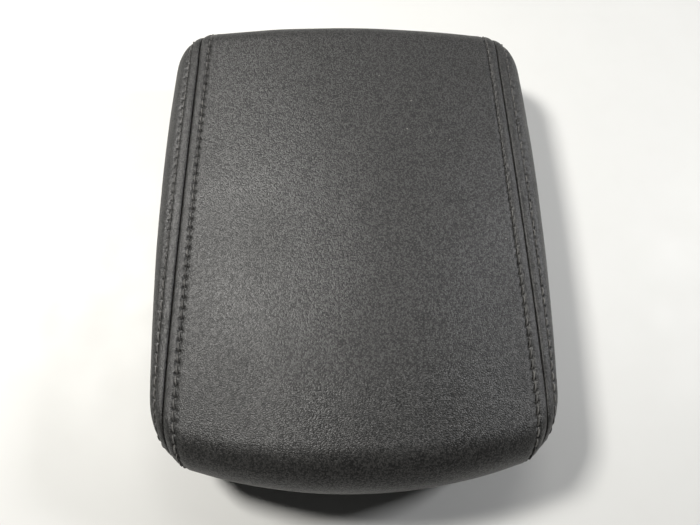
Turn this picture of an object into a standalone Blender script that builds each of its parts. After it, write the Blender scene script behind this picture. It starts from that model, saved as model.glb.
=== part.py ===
"""Car armrest: the padded lid of a centre console, with its latch, hinge and console bracket.

Units are metres and +Z is up. The latch is at the front, towards -Y, and the hinge at the rear.
The origin is the middle of the armrest's footprint, on the surface that it lies on.
"""

import math

import bmesh
import bpy
from mathutils import Matrix, Vector

# Outline of the padded cover, seen from above
LID_HALF_WIDTH = 0.0996
FRONT_REACH = 0.1170
REAR_REACH = 0.1150
NOSE_BULGE = 0.0170
REAR_BULGE = 0.0010
SIDE_TAPER = 0.0228
SIDE_BOW = 0.0365
CORNER_ACROSS = 0.0095
CORNER_ALONG = 0.0123
BOW_LENGTH = 0.1000

# Section of the padded cover
COVER_BOTTOM = 0.0150
PAD_HEIGHT = 0.0360
CROWN = 0.0095
SIDE_SHOULDER = 0.0100
FRONT_SHOULDER = 0.0160
REAR_SHOULDER = 0.0155
SIDE_LEAN = math.radians(95)
END_LEAN = math.radians(100)
LOWER_EDGE_RADIUS = 0.0030
HEM_WIDTH = 0.0060
COVER_THICKNESS = 0.0015

# Seams and stitching
SEAM_PLACE = 0.125
SEAM_FRONT_DRIFT = 0.0032
SEAM_MIDDLE_DRIFT = -0.0007
SEAM_REAR_DRIFT = -0.0013
SEAM_HOLD = 0.0080
SEAM_GAP = 0.0006
SEAM_ROLL = 0.0025
SEAM_SINK = 0.0007
STITCH_LENGTH = 0.0050
STITCH_ROW_OFFSET = 0.0052
THREAD_RADIUS = 0.00035
THREAD_SINK = 0.00025
THREAD_END = 1.97

# Foam and carrier
CLEARANCE = 0.0003
FOAM_SIDE = 0.0040
FOAM_TOP = 0.0070
CARRIER_WALL = 0.0025
CARRIER_SIDE_SHOULDER = 0.0060
CARRIER_END_SHOULDER = 0.0100
BOSS_RADIUS = 0.0036

# Inner panel
SIDE_LEDGE = 0.0290
FRONT_LEDGE = 0.0270
REAR_LEDGE = 0.0450
PLUG_CORNER = 0.0140
PLUG_EDGE = 0.0025
PANEL_WALL = 0.0022
FLANGE_THICKNESS = 0.0020
FLANGE_INSET = 0.0015
HINGE_NOTCH_HALF_WIDTH = 0.0520
HINGE_NOTCH_DEPTH = 0.0350

# Screws and rubber stops
SCREW_SHANK_RADIUS = 0.0015
SCREW_HEAD_RADIUS = 0.0034
SCREW_HEAD_HEIGHT = 0.0020
SCREW_LENGTH = 0.0120
SIDE_SCREW_GAP = 0.0080
SIDE_SCREW_ROWS = (-0.0500, 0.0300)
FRONT_SCREW_X = 0.0400
FRONT_SCREW_INSET = 0.0220
REAR_SCREW_SIDE_INSET = 0.0350
REAR_SCREW_INSET = 0.0250
STOP_GAP = 0.0030
STOP_FRONT_INSET = 0.0370
STOP_REAR_INSET = 0.0330
STOP_RADIUS = 0.0050
STOP_HEIGHT = 0.0030
STOP_STEM_RADIUS = 0.0020

# Latch
LATCH_INSET = 0.0180
LATCH_Z = 0.0075
LATCH_PIN_RADIUS = 0.0015
LATCH_HALF_WIDTH = 0.0220
LATCH_BARREL_RADIUS = 0.0030
LATCH_PADDLE_REACH = 0.0112
LATCH_PADDLE_THICKNESS = 0.0025
LATCH_PADDLE_DROP = 0.0005
LATCH_EAR_THICKNESS = 0.0030
LATCH_EAR_RADIUS = 0.0032
HOOK_HALF_WIDTH = 0.0080
HOOK_DROP = 0.0063
HOOK_THICKNESS = 0.0030
HOOK_LIP = 0.0028
HOOK_LIP_HEIGHT = 0.0020
SPRING_OFFSET = 0.0058
SPRING_RADIUS = 0.0018
SPRING_WIRE_RADIUS = 0.0003
SPRING_TURNS = 4

# Hinge
HINGE_INSET = 0.0070
HINGE_Z = 0.0095
HINGE_PIN_RADIUS = 0.0018
BUSHING_WALL = 0.0009
BUSHING_FLANGE_RADIUS = 0.0040
BUSHING_FLANGE_THICKNESS = 0.0008
KNUCKLE_RADIUS = 0.0048
KNUCKLE_INNER_X = 0.0200
KNUCKLE_OUTER_X = 0.0345
HINGE_PLATE_THICKNESS = 0.0020
HINGE_PLATE_REACH = 0.0240
HINGE_PLATE_SETBACK = 0.0065
HINGE_PLATE_HALF_WIDTH = 0.0460
LEAF_STEP = 0.0002
HINGE_SCREW_REACH = 0.0170
HINGE_SCREW_PLACES = (-0.0400, -0.0140, 0.0140, 0.0400)
EAR_THICKNESS = 0.0030
EAR_RADIUS = 0.0045
EAR_FOOT = 0.0120
EAR_SETBACK = 0.0005
PLATE_CORNER = 0.0040
BRACKET_THICKNESS = 0.0025
BRACKET_HALF_WIDTH = 0.0520
BRACKET_REACH = 0.0280
BRACKET_TAIL = 0.0040
BRACKET_HOLE_RADIUS = 0.0022
BRACKET_HOLE_X = 0.0460
BRACKET_HOLE_REACHES = (0.0220, 0.0030)
PIN_HEAD_RADIUS = 0.0032
PIN_HEAD_THICKNESS = 0.0012
PIN_GROOVE_DEPTH = 0.0004
CLIP_THICKNESS = 0.0008
CLIP_RADIUS = 0.0036

# Fineness of the solids
ROUND_SEGMENTS = 12
BARREL_SEGMENTS = 16
THREAD_SIDES = 3
FLAT_STEPS = 3
COVER_SIDE_COLUMNS = (1.24, 1.31, 1.38, 1.46, 1.55, 1.77, 2.0)
COVER_END_ROWS = (1.22, 1.31, 1.40, 1.49, 1.58, 1.68, 1.84, 2.0)
HEM_RINGS = (0.34, 0.67, 1.0, 2.0)
CORE_COLUMNS = (1.22, 1.36, 1.52, 2.0)
CORE_ROWS = (1.22, 1.38, 1.54, 1.70, 2.0)
OUTLINE_COLUMNS = (1.12, 1.35, 1.68, 2.0)
OUTLINE_ROWS = (1.35, 1.70, 2.0)

# Worked out from the sizes above
REAR_END = (FRONT_REACH + NOSE_BULGE + REAR_REACH + REAR_BULGE) / 2
FRONT_END = -REAR_END
Y_SHIFT = REAR_END - REAR_REACH - REAR_BULGE
SIDE_SPAN = CORNER_ACROSS + SIDE_SHOULDER * SIDE_LEAN + PAD_HEIGHT - 2 * SIDE_SHOULDER
PLUG_HALF_WIDTH = LID_HALF_WIDTH - SIDE_LEDGE
PLUG_FRONT = FRONT_END + FRONT_LEDGE
PLUG_REAR = REAR_END - REAR_LEDGE
HINGE_NOTCH_FRONT = REAR_END - HINGE_NOTCH_DEPTH
SIDE_SCREW_X = PLUG_HALF_WIDTH + SIDE_SCREW_GAP
FRONT_SCREW_Y = FRONT_END + FRONT_SCREW_INSET
REAR_SCREW_X = LID_HALF_WIDTH - REAR_SCREW_SIDE_INSET
REAR_SCREW_Y = REAR_END - REAR_SCREW_INSET
STOP_X = PLUG_HALF_WIDTH + STOP_GAP + STOP_RADIUS
STOP_ROWS = (FRONT_END + STOP_FRONT_INSET, REAR_END - STOP_REAR_INSET)
LATCH_Y = FRONT_END + LATCH_INSET
SPRING_Y = LATCH_Y - SPRING_OFFSET
HINGE_Y = REAR_END - HINGE_INSET
HINGE_SCREW_Y = HINGE_Y - HINGE_SCREW_REACH
FLANGE_TOP = COVER_BOTTOM - CLEARANCE
FLANGE_BOTTOM = FLANGE_TOP - FLANGE_THICKNESS
HINGE_PLATE_TOP = HINGE_Z + KNUCKLE_RADIUS
HINGE_PLATE_BOTTOM = HINGE_PLATE_TOP - HINGE_PLATE_THICKNESS
EAR_INNER_X = KNUCKLE_OUTER_X + BUSHING_FLANGE_THICKNESS + 2 * CLEARANCE
EAR_OUTER_X = EAR_INNER_X + EAR_THICKNESS


def clear_scene():
    """Remove every object of the scene."""
    for old in list(bpy.data.objects):
        bpy.data.objects.remove(old, do_unlink=True)


def finish(name, colour, roughness, metallic=0.0):
    """Return a Principled material of one plain colour."""
    material = bpy.data.materials.new(name)
    material.use_nodes = True
    shader = material.node_tree.nodes["Principled BSDF"]
    shader.inputs["Base Color"].default_value = (*colour, 1.0)
    shader.inputs["Roughness"].default_value = roughness
    shader.inputs["Metallic"].default_value = metallic
    material.diffuse_color = (*colour, 1.0)
    return material


def add_object(name, mesh, material, smooth_angle=35.0):
    """Link a mesh to the scene as a named sub-part."""
    mesh.materials.clear()
    mesh.materials.append(material)
    mesh.shade_smooth()
    mesh.set_sharp_from_angle(angle=math.radians(smooth_angle))
    thing = bpy.data.objects.new(name, mesh)
    bpy.context.scene.collection.objects.link(thing)
    return thing


def to_mesh(shape, name):
    """Turn a bmesh into a mesh and free it."""
    mesh = bpy.data.meshes.new(name)
    shape.to_mesh(mesh)
    shape.free()
    return mesh


def box(x_range, y_range, z_range):
    """Return a bmesh box between the given limits."""
    shape = bmesh.new()
    bmesh.ops.create_cube(shape, size=1.0)
    size = Vector((x_range[1] - x_range[0], y_range[1] - y_range[0], z_range[1] - z_range[0]))
    middle = Vector((sum(x_range), sum(y_range), sum(z_range))) / 2
    bmesh.ops.scale(shape, vec=size, verts=shape.verts)
    bmesh.ops.translate(shape, vec=middle, verts=shape.verts)
    return shape


def turned(profile, segments=ROUND_SEGMENTS):
    """Return a closed round solid about Z from (radius, height) points, foot first."""
    shape = bmesh.new()
    points = [shape.verts.new((radius, 0.0, height)) for radius, height in profile]
    edges = [shape.edges.new(pair) for pair in zip(points, points[1:])]
    closed = profile[0][0] > 0.0 and profile[-1][0] > 0.0
    if closed:
        edges.append(shape.edges.new((points[-1], points[0])))
    bmesh.ops.spin(shape, geom=points + edges, axis=(0, 0, 1), cent=(0, 0, 0), angle=2 * math.pi,
                   steps=segments, use_merge=True)
    bmesh.ops.remove_doubles(shape, verts=shape.verts, dist=1e-7)
    bmesh.ops.recalc_face_normals(shape, faces=shape.faces)
    return shape


def along_x(shape, x, y, z):
    """Turn a round solid from Z to X and set its foot at the given place."""
    bmesh.ops.rotate(shape, cent=(0, 0, 0), matrix=Matrix.Rotation(math.pi / 2, 3, "Y"), verts=shape.verts)
    bmesh.ops.translate(shape, vec=(x, y, z), verts=shape.verts)
    return shape


def rod_x(x_range, y, z, radius, segments=BARREL_SEGMENTS):
    """Return a plain rod along X."""
    length = x_range[1] - x_range[0]
    shape = turned([(0.0, 0.0), (radius, 0.0), (radius, length), (0.0, length)], segments)
    return along_x(shape, x_range[0], y, z)


def rod_z(x, y, z_range, radius, segments=ROUND_SEGMENTS):
    """Return a plain upright rod."""
    length = z_range[1] - z_range[0]
    shape = turned([(0.0, 0.0), (radius, 0.0), (radius, length), (0.0, length)], segments)
    bmesh.ops.translate(shape, vec=(x, y, z_range[0]), verts=shape.verts)
    return shape


def slab(outline, z_range):
    """Return a flat plate with the given outline in XY."""
    shape = bmesh.new()
    corners = [shape.verts.new((x, y, z_range[0])) for x, y in outline]
    face = shape.faces.new(corners)
    lifted = bmesh.ops.extrude_face_region(shape, geom=[face])["geom"]
    tops = [item for item in lifted if isinstance(item, bmesh.types.BMVert)]
    bmesh.ops.translate(shape, vec=(0, 0, z_range[1] - z_range[0]), verts=tops)
    bmesh.ops.recalc_face_normals(shape, faces=shape.faces)
    return shape


def plate_x(outline, x_range):
    """Return a plate that stands across X, with its outline in YZ."""
    shape = bmesh.new()
    corners = [shape.verts.new((x_range[0], y, z)) for y, z in outline]
    face = shape.faces.new(corners)
    moved = bmesh.ops.extrude_face_region(shape, geom=[face])["geom"]
    ends = [item for item in moved if isinstance(item, bmesh.types.BMVert)]
    bmesh.ops.translate(shape, vec=(x_range[1] - x_range[0], 0, 0), verts=ends)
    bmesh.ops.recalc_face_normals(shape, faces=shape.faces)
    return shape


def combine(base, operation, *tools):
    """Join shapes into one body, or cut them away, with exact Booleans."""
    carrier = bpy.data.objects.new("base", to_mesh(base, "base"))
    bpy.context.scene.collection.objects.link(carrier)
    helpers = []
    for tool in tools:
        helper = bpy.data.objects.new("tool", to_mesh(tool, "tool"))
        bpy.context.scene.collection.objects.link(helper)
        modifier = carrier.modifiers.new("cut", "BOOLEAN")
        modifier.operation = operation
        modifier.solver = "EXACT"
        modifier.object = helper
        helpers.append(helper)
    graph = bpy.context.evaluated_depsgraph_get()
    result = bmesh.new()
    result.from_mesh(carrier.evaluated_get(graph).to_mesh())
    for helper in helpers + [carrier]:
        bpy.data.objects.remove(helper, do_unlink=True)
    bmesh.ops.dissolve_degenerate(result, dist=1e-7, edges=result.edges)
    return result


def join(base, *tools):
    """Return shapes joined into one body."""
    return combine(base, "UNION", *tools)


def cut(base, *tools):
    """Return a shape with others cut away."""
    return combine(base, "DIFFERENCE", *tools)


class Skin:
    """One layer of the lid: a flat top whose edges round over shoulders into leaning walls."""

    def __init__(self, inset, top_inset, side_shoulder, front_shoulder, rear_shoulder, foot, edge_radius):
        self.inset = inset
        self.height = PAD_HEIGHT - top_inset - foot
        self.side_shoulder = side_shoulder
        self.front_shoulder = front_shoulder
        self.rear_shoulder = rear_shoulder
        self.foot = foot
        self.edge_radius = edge_radius

    def section(self, angle, front):
        """Return corner reach, shoulder radius, lean and wall length in one direction."""
        across, along = math.cos(angle) ** 2, math.sin(angle) ** 2
        end_shoulder = self.front_shoulder if front else self.rear_shoulder
        reach = math.hypot(CORNER_ACROSS * math.cos(angle), CORNER_ALONG * math.sin(angle))
        shoulder = self.side_shoulder * across + end_shoulder * along
        lean = SIDE_LEAN * across + END_LEAN * along
        drop = self.height - shoulder * (1 - math.cos(lean)) - self.edge_radius * (1 + math.cos(lean))
        return reach, shoulder, lean, drop / math.sin(lean)

    def profile(self, angle, front, share, ring, depth):
        """Return how far out and how high a point of the section lies."""
        reach, shoulder, lean, wall = self.section(angle, front)
        distance = share * (reach + shoulder * lean + wall)
        turn = min(max((distance - reach) / shoulder, 0.0), lean)
        down = max(distance - reach - shoulder * lean, 0.0)
        out = min(distance, reach) + shoulder * math.sin(turn) + down * math.cos(lean)
        high = self.height - shoulder * (1 - math.cos(turn)) - down * math.sin(lean)
        if ring > 0.0:
            centre_out = out - self.edge_radius * math.sin(lean)
            centre_high = high - self.edge_radius * math.cos(lean)
            turn = lean + min(ring, 1.0) * (math.pi - lean)
            out = centre_out + self.edge_radius * math.sin(turn) - max(ring - 1.0, 0.0) * HEM_WIDTH
            high = centre_high + self.edge_radius * math.cos(turn)
        return out - depth * math.sin(turn), self.foot + high - depth * math.cos(turn)

    def point(self, u, v, ring=0.0, depth=0.0):
        """Return the place of a chart point, with u across and v along the lid."""
        front = v < 0.0
        end_shoulder = self.front_shoulder if front else self.rear_shoulder
        end_reach = FRONT_REACH if front else REAR_REACH
        half_flat = LID_HALF_WIDTH - self.inset - self.side_shoulder - CORNER_ACROSS
        end_flat = end_reach - self.inset - end_shoulder - CORNER_ALONG
        across = drifted(abs(u), v, half_flat)
        p, q = chart(across, abs(v))
        angle = math.atan2(q, p)
        out, high = self.profile(angle, front, math.hypot(p, q), ring, depth)
        away = math.hypot(p, q) > 0.0
        x = min(across, 1.0) * half_flat + (out * math.cos(angle) if away else 0.0)
        y = min(abs(v), 1.0) * end_flat + (out * math.sin(angle) if away else 0.0)
        return bend(math.copysign(x, u), math.copysign(y, v), high)


def drifted(u, v, half_flat):
    """Return the place across of a chart point, moved along with the seam where it runs further out or in."""
    along = max(min(v, 1.0), -1.0)
    drift = SEAM_MIDDLE_DRIFT + (SEAM_REAR_DRIFT - SEAM_FRONT_DRIFT) / 2 * along
    drift += ((SEAM_FRONT_DRIFT + SEAM_REAR_DRIFT) / 2 - SEAM_MIDDLE_DRIFT) * along ** 2
    seam, end = half_flat + SEAM_PLACE * SIDE_SPAN, half_flat + SIDE_SPAN
    distance = half_flat + (u - 1) * SIDE_SPAN if u > 1.0 else u * half_flat
    distance += drift * min(1.0, (end - distance) / (end - seam - SEAM_HOLD), distance / (seam - SEAM_HOLD))
    return 1 + (distance - half_flat) / SIDE_SPAN if distance > half_flat else distance / half_flat


def chart(u, v):
    """Return the corner coordinates of a point of the square chart, each from 0 to 1."""
    a, b = max(u - 1.0, 0.0), max(v - 1.0, 0.0)
    if b == 0.0:
        return a, 0.0
    if a <= SEAM_PLACE:
        return a, b * math.sqrt(1 - a * a)
    end_angle = math.acos(SEAM_PLACE)
    corner_angle = end_angle / 2
    share = (a - SEAM_PLACE) / (1 - SEAM_PLACE)
    seam_side = Vector((SEAM_PLACE, b * math.sin(end_angle)))
    outer_side = Vector((math.cos(b * corner_angle), math.sin(b * corner_angle)))
    near_end = Vector((a, 0.0))
    far_angle = end_angle + share * (corner_angle - end_angle)
    far_end = Vector((math.cos(far_angle), math.sin(far_angle)))
    seam_corner = Vector((math.cos(end_angle), math.sin(end_angle)))
    outer_corner = Vector((math.cos(corner_angle), math.sin(corner_angle)))
    place = (1 - share) * seam_side + share * outer_side + (1 - b) * near_end + b * far_end
    place -= (1 - share) * (1 - b) * Vector((SEAM_PLACE, 0.0)) + share * (1 - b) * Vector((1.0, 0.0))
    place -= (1 - share) * b * seam_corner + share * b * outer_corner
    return place.x, place.y


def bend(x, y, high):
    """Bow the sides, bulge the ends and crown the top, as the padded lid is."""
    spread = 1 - min((x / LID_HALF_WIDTH) ** 2, 1.0)
    end_reach = FRONT_REACH if y < 0 else REAR_REACH
    bulge = -NOSE_BULGE if y < 0 else REAR_BULGE
    units = y / BOW_LENGTH
    return Vector((
        x * (1 + SIDE_TAPER * units - SIDE_BOW * units ** 2),
        y + bulge * spread * (y / end_reach) ** 2 + Y_SHIFT,
        COVER_BOTTOM + high * (1 + CROWN * spread / PAD_HEIGHT)))


def spaced(start, stop, count):
    """Return count + 1 evenly spaced numbers."""
    return [start + (stop - start) * step / count for step in range(count + 1)]


def mirrored(values):
    """Return a rising list of a list of positive numbers and their negatives."""
    return sorted({-value for value in values} | set(values))


def sheet(columns, rows, rings, place, thickness_place):
    """Return a closed shell over a chart grid, with its hem rings along the lid's lower edge.

    place(u, v, ring) gives the outer face and thickness_place(u, v, ring) the inner one.
    """
    shape = bmesh.new()
    keys = {}
    for side, put in (("outer", place), ("inner", thickness_place)):
        for u in columns:
            for v in rows:
                keys[side, u, v, 0.0] = shape.verts.new(put(u, v, 0.0))
                if abs(u) == 2.0 or abs(v) == 2.0:
                    for ring in rings:
                        keys[side, u, v, ring] = shape.verts.new(put(u, v, ring))
    quads = []
    for u, next_u in zip(columns, columns[1:]):
        for v, next_v in zip(rows, rows[1:]):
            quads.append(((u, v, 0.0), (next_u, v, 0.0), (next_u, next_v, 0.0), (u, next_v, 0.0)))
    for ring, next_ring in zip([0.0] + rings, rings):
        for start, end in rim(columns, rows):
            quads.append(((*start, ring), (*start, next_ring), (*end, next_ring), (*end, ring)))
    edges = {}
    for quad in quads:
        for start, end in zip(quad, quad[1:] + quad[:1]):
            edges[start, end] = edges.get((start, end), 0) + 1
        for half in (quad[:3], (quad[0], quad[2], quad[3])):
            shape.faces.new([keys["outer", *corner] for corner in half])
            shape.faces.new([keys["inner", *corner] for corner in reversed(half)])
    for start, end in edges:
        if (end, start) not in edges:
            shape.faces.new([keys["outer", *end], keys["outer", *start],
                             keys["inner", *start], keys["inner", *end]])
    bmesh.ops.recalc_face_normals(shape, faces=shape.faces)
    return shape


def rim(columns, rows):
    """Return the chart edges along the lid's lower edge, in turning order."""
    across = list(zip(columns, columns[1:]))
    along = list(zip(rows, rows[1:]))
    pairs = []
    if rows[0] == -2.0:
        pairs += [((u, rows[0]), (next_u, rows[0])) for u, next_u in across]
    if columns[-1] == 2.0:
        pairs += [((columns[-1], v), (columns[-1], next_v)) for v, next_v in along]
    if rows[-1] == 2.0:
        pairs += [((next_u, rows[-1]), (u, rows[-1])) for u, next_u in reversed(across)]
    if columns[0] == -2.0:
        pairs += [((columns[0], next_v), (columns[0], v)) for v, next_v in reversed(along)]
    return pairs


COVER_SKIN = Skin(0.0, 0.0, SIDE_SHOULDER, FRONT_SHOULDER, REAR_SHOULDER, 0.0, LOWER_EDGE_RADIUS)
FOAM_INNER = COVER_THICKNESS + CLEARANCE + FOAM_SIDE
FOAM_ROOF = COVER_THICKNESS + CLEARANCE + FOAM_TOP
CARRIER_SKIN = Skin(FOAM_INNER + CLEARANCE, FOAM_ROOF + CLEARANCE, CARRIER_SIDE_SHOULDER,
                    CARRIER_END_SHOULDER, CARRIER_END_SHOULDER, COVER_THICKNESS + CLEARANCE, 0.0)


def cover_face(edges):
    """Return a placing function for a cover's face, which sinks towards the seam edges."""
    roll = SEAM_ROLL / SIDE_SPAN

    def place(u, v, ring):
        nearest = min(abs(abs(u) - edge) for edge in edges)
        return COVER_SKIN.point(u, v, ring, SEAM_SINK * max(1 - nearest / roll, 0.0) ** 2)

    return place


def build_covers(leather):
    """Make the centre cover and the two side covers, which meet at the seams."""
    half_gap = SEAM_GAP / 2 / SIDE_SPAN
    roll = SEAM_ROLL / SIDE_SPAN
    rows = mirrored([*spaced(0.0, 1.0, FLAT_STEPS), *COVER_END_ROWS])
    inner_edge = 1 + SEAM_PLACE - half_gap
    outer_edge = 1 + SEAM_PLACE + half_gap
    centre_columns = mirrored(spaced(0.0, 1.0, FLAT_STEPS) + [inner_edge - roll, inner_edge])
    side_columns = [outer_edge, outer_edge + roll, *COVER_SIDE_COLUMNS]
    for name, columns in (("centre_cover", centre_columns),
                          ("right_side_cover", side_columns),
                          ("left_side_cover", sorted(-u for u in side_columns))):
        shell = sheet(columns, rows, list(HEM_RINGS), cover_face((inner_edge, outer_edge)),
                      lambda u, v, ring: COVER_SKIN.point(u, v, ring, COVER_THICKNESS))
        add_object(name, to_mesh(shell, name), leather, 60.0)


def build_foam_and_carrier(foam, plastic):
    """Make the foam pad and the carrier that it lies on, with the carrier's screw bosses."""
    columns = mirrored([*spaced(0.0, 1.0, FLAT_STEPS), *CORE_COLUMNS])
    rows = mirrored([*spaced(0.0, 1.0, FLAT_STEPS), *CORE_ROWS])
    pad = sheet(columns, rows, [],
                lambda u, v, ring: COVER_SKIN.point(u, v, ring, COVER_THICKNESS + CLEARANCE),
                lambda u, v, ring: CARRIER_SKIN.point(u, v, ring, -CLEARANCE))
    add_object("foam_pad", to_mesh(pad, "foam_pad"), foam, 60.0)
    shell = sheet(columns, rows, [],
                  lambda u, v, ring: CARRIER_SKIN.point(u, v, ring),
                  lambda u, v, ring: CARRIER_SKIN.point(u, v, ring, CARRIER_WALL))
    panel_bosses = [boss(x, y, FLANGE_TOP + CLEARANCE) for x, y in panel_screw_places()]
    hinge_bosses = [boss(x, HINGE_SCREW_Y, HINGE_PLATE_TOP + CLEARANCE) for x in HINGE_SCREW_PLACES]
    shell = join(shell, *panel_bosses, *hinge_bosses)
    hole = SCREW_SHANK_RADIUS + CLEARANCE
    bores = [rod_z(x, y, (FLANGE_BOTTOM, FLANGE_BOTTOM + SCREW_LENGTH + CLEARANCE), hole)
             for x, y in panel_screw_places()]
    bores += [rod_z(x, HINGE_SCREW_Y, (HINGE_PLATE_BOTTOM, HINGE_PLATE_BOTTOM + SCREW_LENGTH + CLEARANCE),
                    hole) for x in HINGE_SCREW_PLACES]
    add_object("lid_carrier", to_mesh(cut(shell, *bores), "lid_carrier"), plastic)


def roof_height(x, y):
    """Return the height of the middle of the carrier's wall above a place."""
    u, v = x / LID_HALF_WIDTH, y / REAR_REACH
    for _ in range(60):
        spot = CARRIER_SKIN.point(u, v, 0.0, CARRIER_WALL / 2)
        u += (x - spot.x) / LID_HALF_WIDTH
        v += (y - spot.y) / REAR_REACH
    return spot.z


def boss(x, y, foot):
    """Return a screw boss that reaches up into the carrier's roof."""
    around = [math.radians(angle) for angle in spaced(0, 315, 7)]
    top = min(roof_height(x + BOSS_RADIUS * math.cos(a), y + BOSS_RADIUS * math.sin(a)) for a in around)
    return rod_z(x, y, (foot, top), BOSS_RADIUS)


def panel_screw_places():
    """Return the eight places where screws hold the inner panel."""
    places = [(side * SIDE_SCREW_X, y) for side in (-1, 1) for y in SIDE_SCREW_ROWS]
    places += [(side * FRONT_SCREW_X, FRONT_SCREW_Y) for side in (-1, 1)]
    places += [(side * REAR_SCREW_X, REAR_SCREW_Y) for side in (-1, 1)]
    return places


def stop_places():
    """Return the four places of the rubber stops."""
    return [(side * STOP_X, y) for side in (-1, 1) for y in STOP_ROWS]


def rounded_outline(half_width, y_range, radius, steps=4):
    """Return a rectangle with round corners."""
    points = []
    corners = ((1, 1, 0), (-1, 1, 90), (-1, 0, 180), (1, 0, 270))
    for side, end, start in corners:
        centre_x = side * (half_width - radius)
        centre_y = y_range[end] - radius if end else y_range[0] + radius
        for step in range(steps + 1):
            angle = math.radians(start + 90 * step / steps)
            points.append((centre_x + radius * math.cos(angle), centre_y + radius * math.sin(angle)))
    return points


def flange_outline():
    """Return the inner panel's outline, a little inside the lid's lower edge."""
    columns = mirrored([*spaced(0.0, 1.0, 2), *OUTLINE_COLUMNS])
    rows = mirrored([*spaced(0.0, 1.0, 2), *OUTLINE_ROWS])
    ring = 1.0 + FLANGE_INSET / HEM_WIDTH
    points = [COVER_SKIN.point(*start, ring) for start, end in rim(columns, rows)]
    return [(point.x, point.y) for point in points]


def build_inner_panel(plastic):
    """Make the inner panel: a flange under the lid's edge and a plug that fills the console."""
    flange = slab(flange_outline(), (FLANGE_BOTTOM, FLANGE_TOP))
    plug = slab(rounded_outline(PLUG_HALF_WIDTH, (PLUG_FRONT, PLUG_REAR), PLUG_CORNER),
                (0.0, FLANGE_BOTTOM + FLANGE_THICKNESS / 2))
    foot_edges = [edge for edge in plug.edges if all(abs(vert.co.z) < 1e-9 for vert in edge.verts)]
    bmesh.ops.bevel(plug, geom=foot_edges, offset=PLUG_EDGE, segments=3, profile=0.5, affect="EDGES",
                    material=-1)
    ears = []
    for side in (-1, 1):
        near = side * (LATCH_HALF_WIDTH + CLEARANCE * 2)
        far = near + side * LATCH_EAR_THICKNESS
        x_range = (min(near, far), max(near, far))
        ears.append(rod_x(x_range, LATCH_Y, LATCH_Z, LATCH_EAR_RADIUS))
        ears.append(box(x_range, (LATCH_Y - LATCH_EAR_RADIUS, LATCH_Y + LATCH_EAR_RADIUS),
                        (LATCH_Z, FLANGE_BOTTOM + FLANGE_THICKNESS / 2)))
    panel = join(flange, plug, *ears)
    cavity = slab(rounded_outline(PLUG_HALF_WIDTH - PANEL_WALL,
                                  (PLUG_FRONT + PANEL_WALL, PLUG_REAR - PANEL_WALL),
                                  PLUG_CORNER - PANEL_WALL),
                  (PANEL_WALL, FLANGE_TOP + FLANGE_THICKNESS))
    notch = box((-HINGE_NOTCH_HALF_WIDTH, HINGE_NOTCH_HALF_WIDTH), (HINGE_NOTCH_FRONT, 2 * HINGE_Y),
                (FLANGE_BOTTOM - FLANGE_THICKNESS, FLANGE_TOP + FLANGE_THICKNESS))
    through = (FLANGE_BOTTOM - FLANGE_THICKNESS, FLANGE_TOP + FLANGE_THICKNESS)
    holes = [rod_z(x, y, through, SCREW_SHANK_RADIUS + CLEARANCE) for x, y in panel_screw_places()]
    holes += [rod_z(x, y, through, STOP_STEM_RADIUS + CLEARANCE) for x, y in stop_places()]
    ear_end = LATCH_HALF_WIDTH + CLEARANCE * 2 + LATCH_EAR_THICKNESS
    holes.append(rod_x((-2 * ear_end, 2 * ear_end), LATCH_Y, LATCH_Z, LATCH_PIN_RADIUS + CLEARANCE))
    panel = cut(panel, cavity, notch, *holes)
    add_object("inner_panel", to_mesh(panel, "inner_panel"), plastic)


def screw_mesh():
    """Return a pan head screw, head down, with the head's seat at height zero."""
    tip = SCREW_LENGTH - 2 * SCREW_SHANK_RADIUS
    return to_mesh(turned([
        (0.0, -SCREW_HEAD_HEIGHT), (0.7 * SCREW_HEAD_RADIUS, -SCREW_HEAD_HEIGHT),
        (SCREW_HEAD_RADIUS, -0.6 * SCREW_HEAD_HEIGHT), (SCREW_HEAD_RADIUS, 0.0),
        (SCREW_SHANK_RADIUS, 0.0), (SCREW_SHANK_RADIUS, tip), (0.0, SCREW_LENGTH - CLEARANCE)]), "screw")


def build_screws(steel):
    """Make the inner panel's screws and the hinge plate's screws."""
    places = [("panel_screw_%d" % number, x, y, FLANGE_BOTTOM)
              for number, (x, y) in enumerate(panel_screw_places(), 1)]
    places += [("hinge_plate_screw_%d" % number, x, HINGE_SCREW_Y, HINGE_PLATE_BOTTOM)
               for number, x in enumerate(HINGE_SCREW_PLACES, 1)]
    shared = screw_mesh()
    for name, x, y, seat in places:
        screw = add_object(name, shared, steel)
        screw.location = (x, y, seat - CLEARANCE)


def build_rubber_stops(rubber):
    """Make the rubber stops that the lid closes on, each with a stem in the flange."""
    stem_top = FLANGE_THICKNESS + CLEARANCE
    shared = to_mesh(turned([
        (0.0, -STOP_HEIGHT), (0.8 * STOP_RADIUS, -STOP_HEIGHT), (STOP_RADIUS, -0.7 * STOP_HEIGHT),
        (STOP_RADIUS, 0.0), (STOP_STEM_RADIUS, 0.0), (STOP_STEM_RADIUS, stem_top), (0.0, stem_top)]),
        "rubber_stop")
    for number, (x, y) in enumerate(stop_places(), 1):
        stop = add_object("rubber_stop_%d" % number, shared, rubber)
        stop.location = (x, y, FLANGE_BOTTOM - CLEARANCE)


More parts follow.
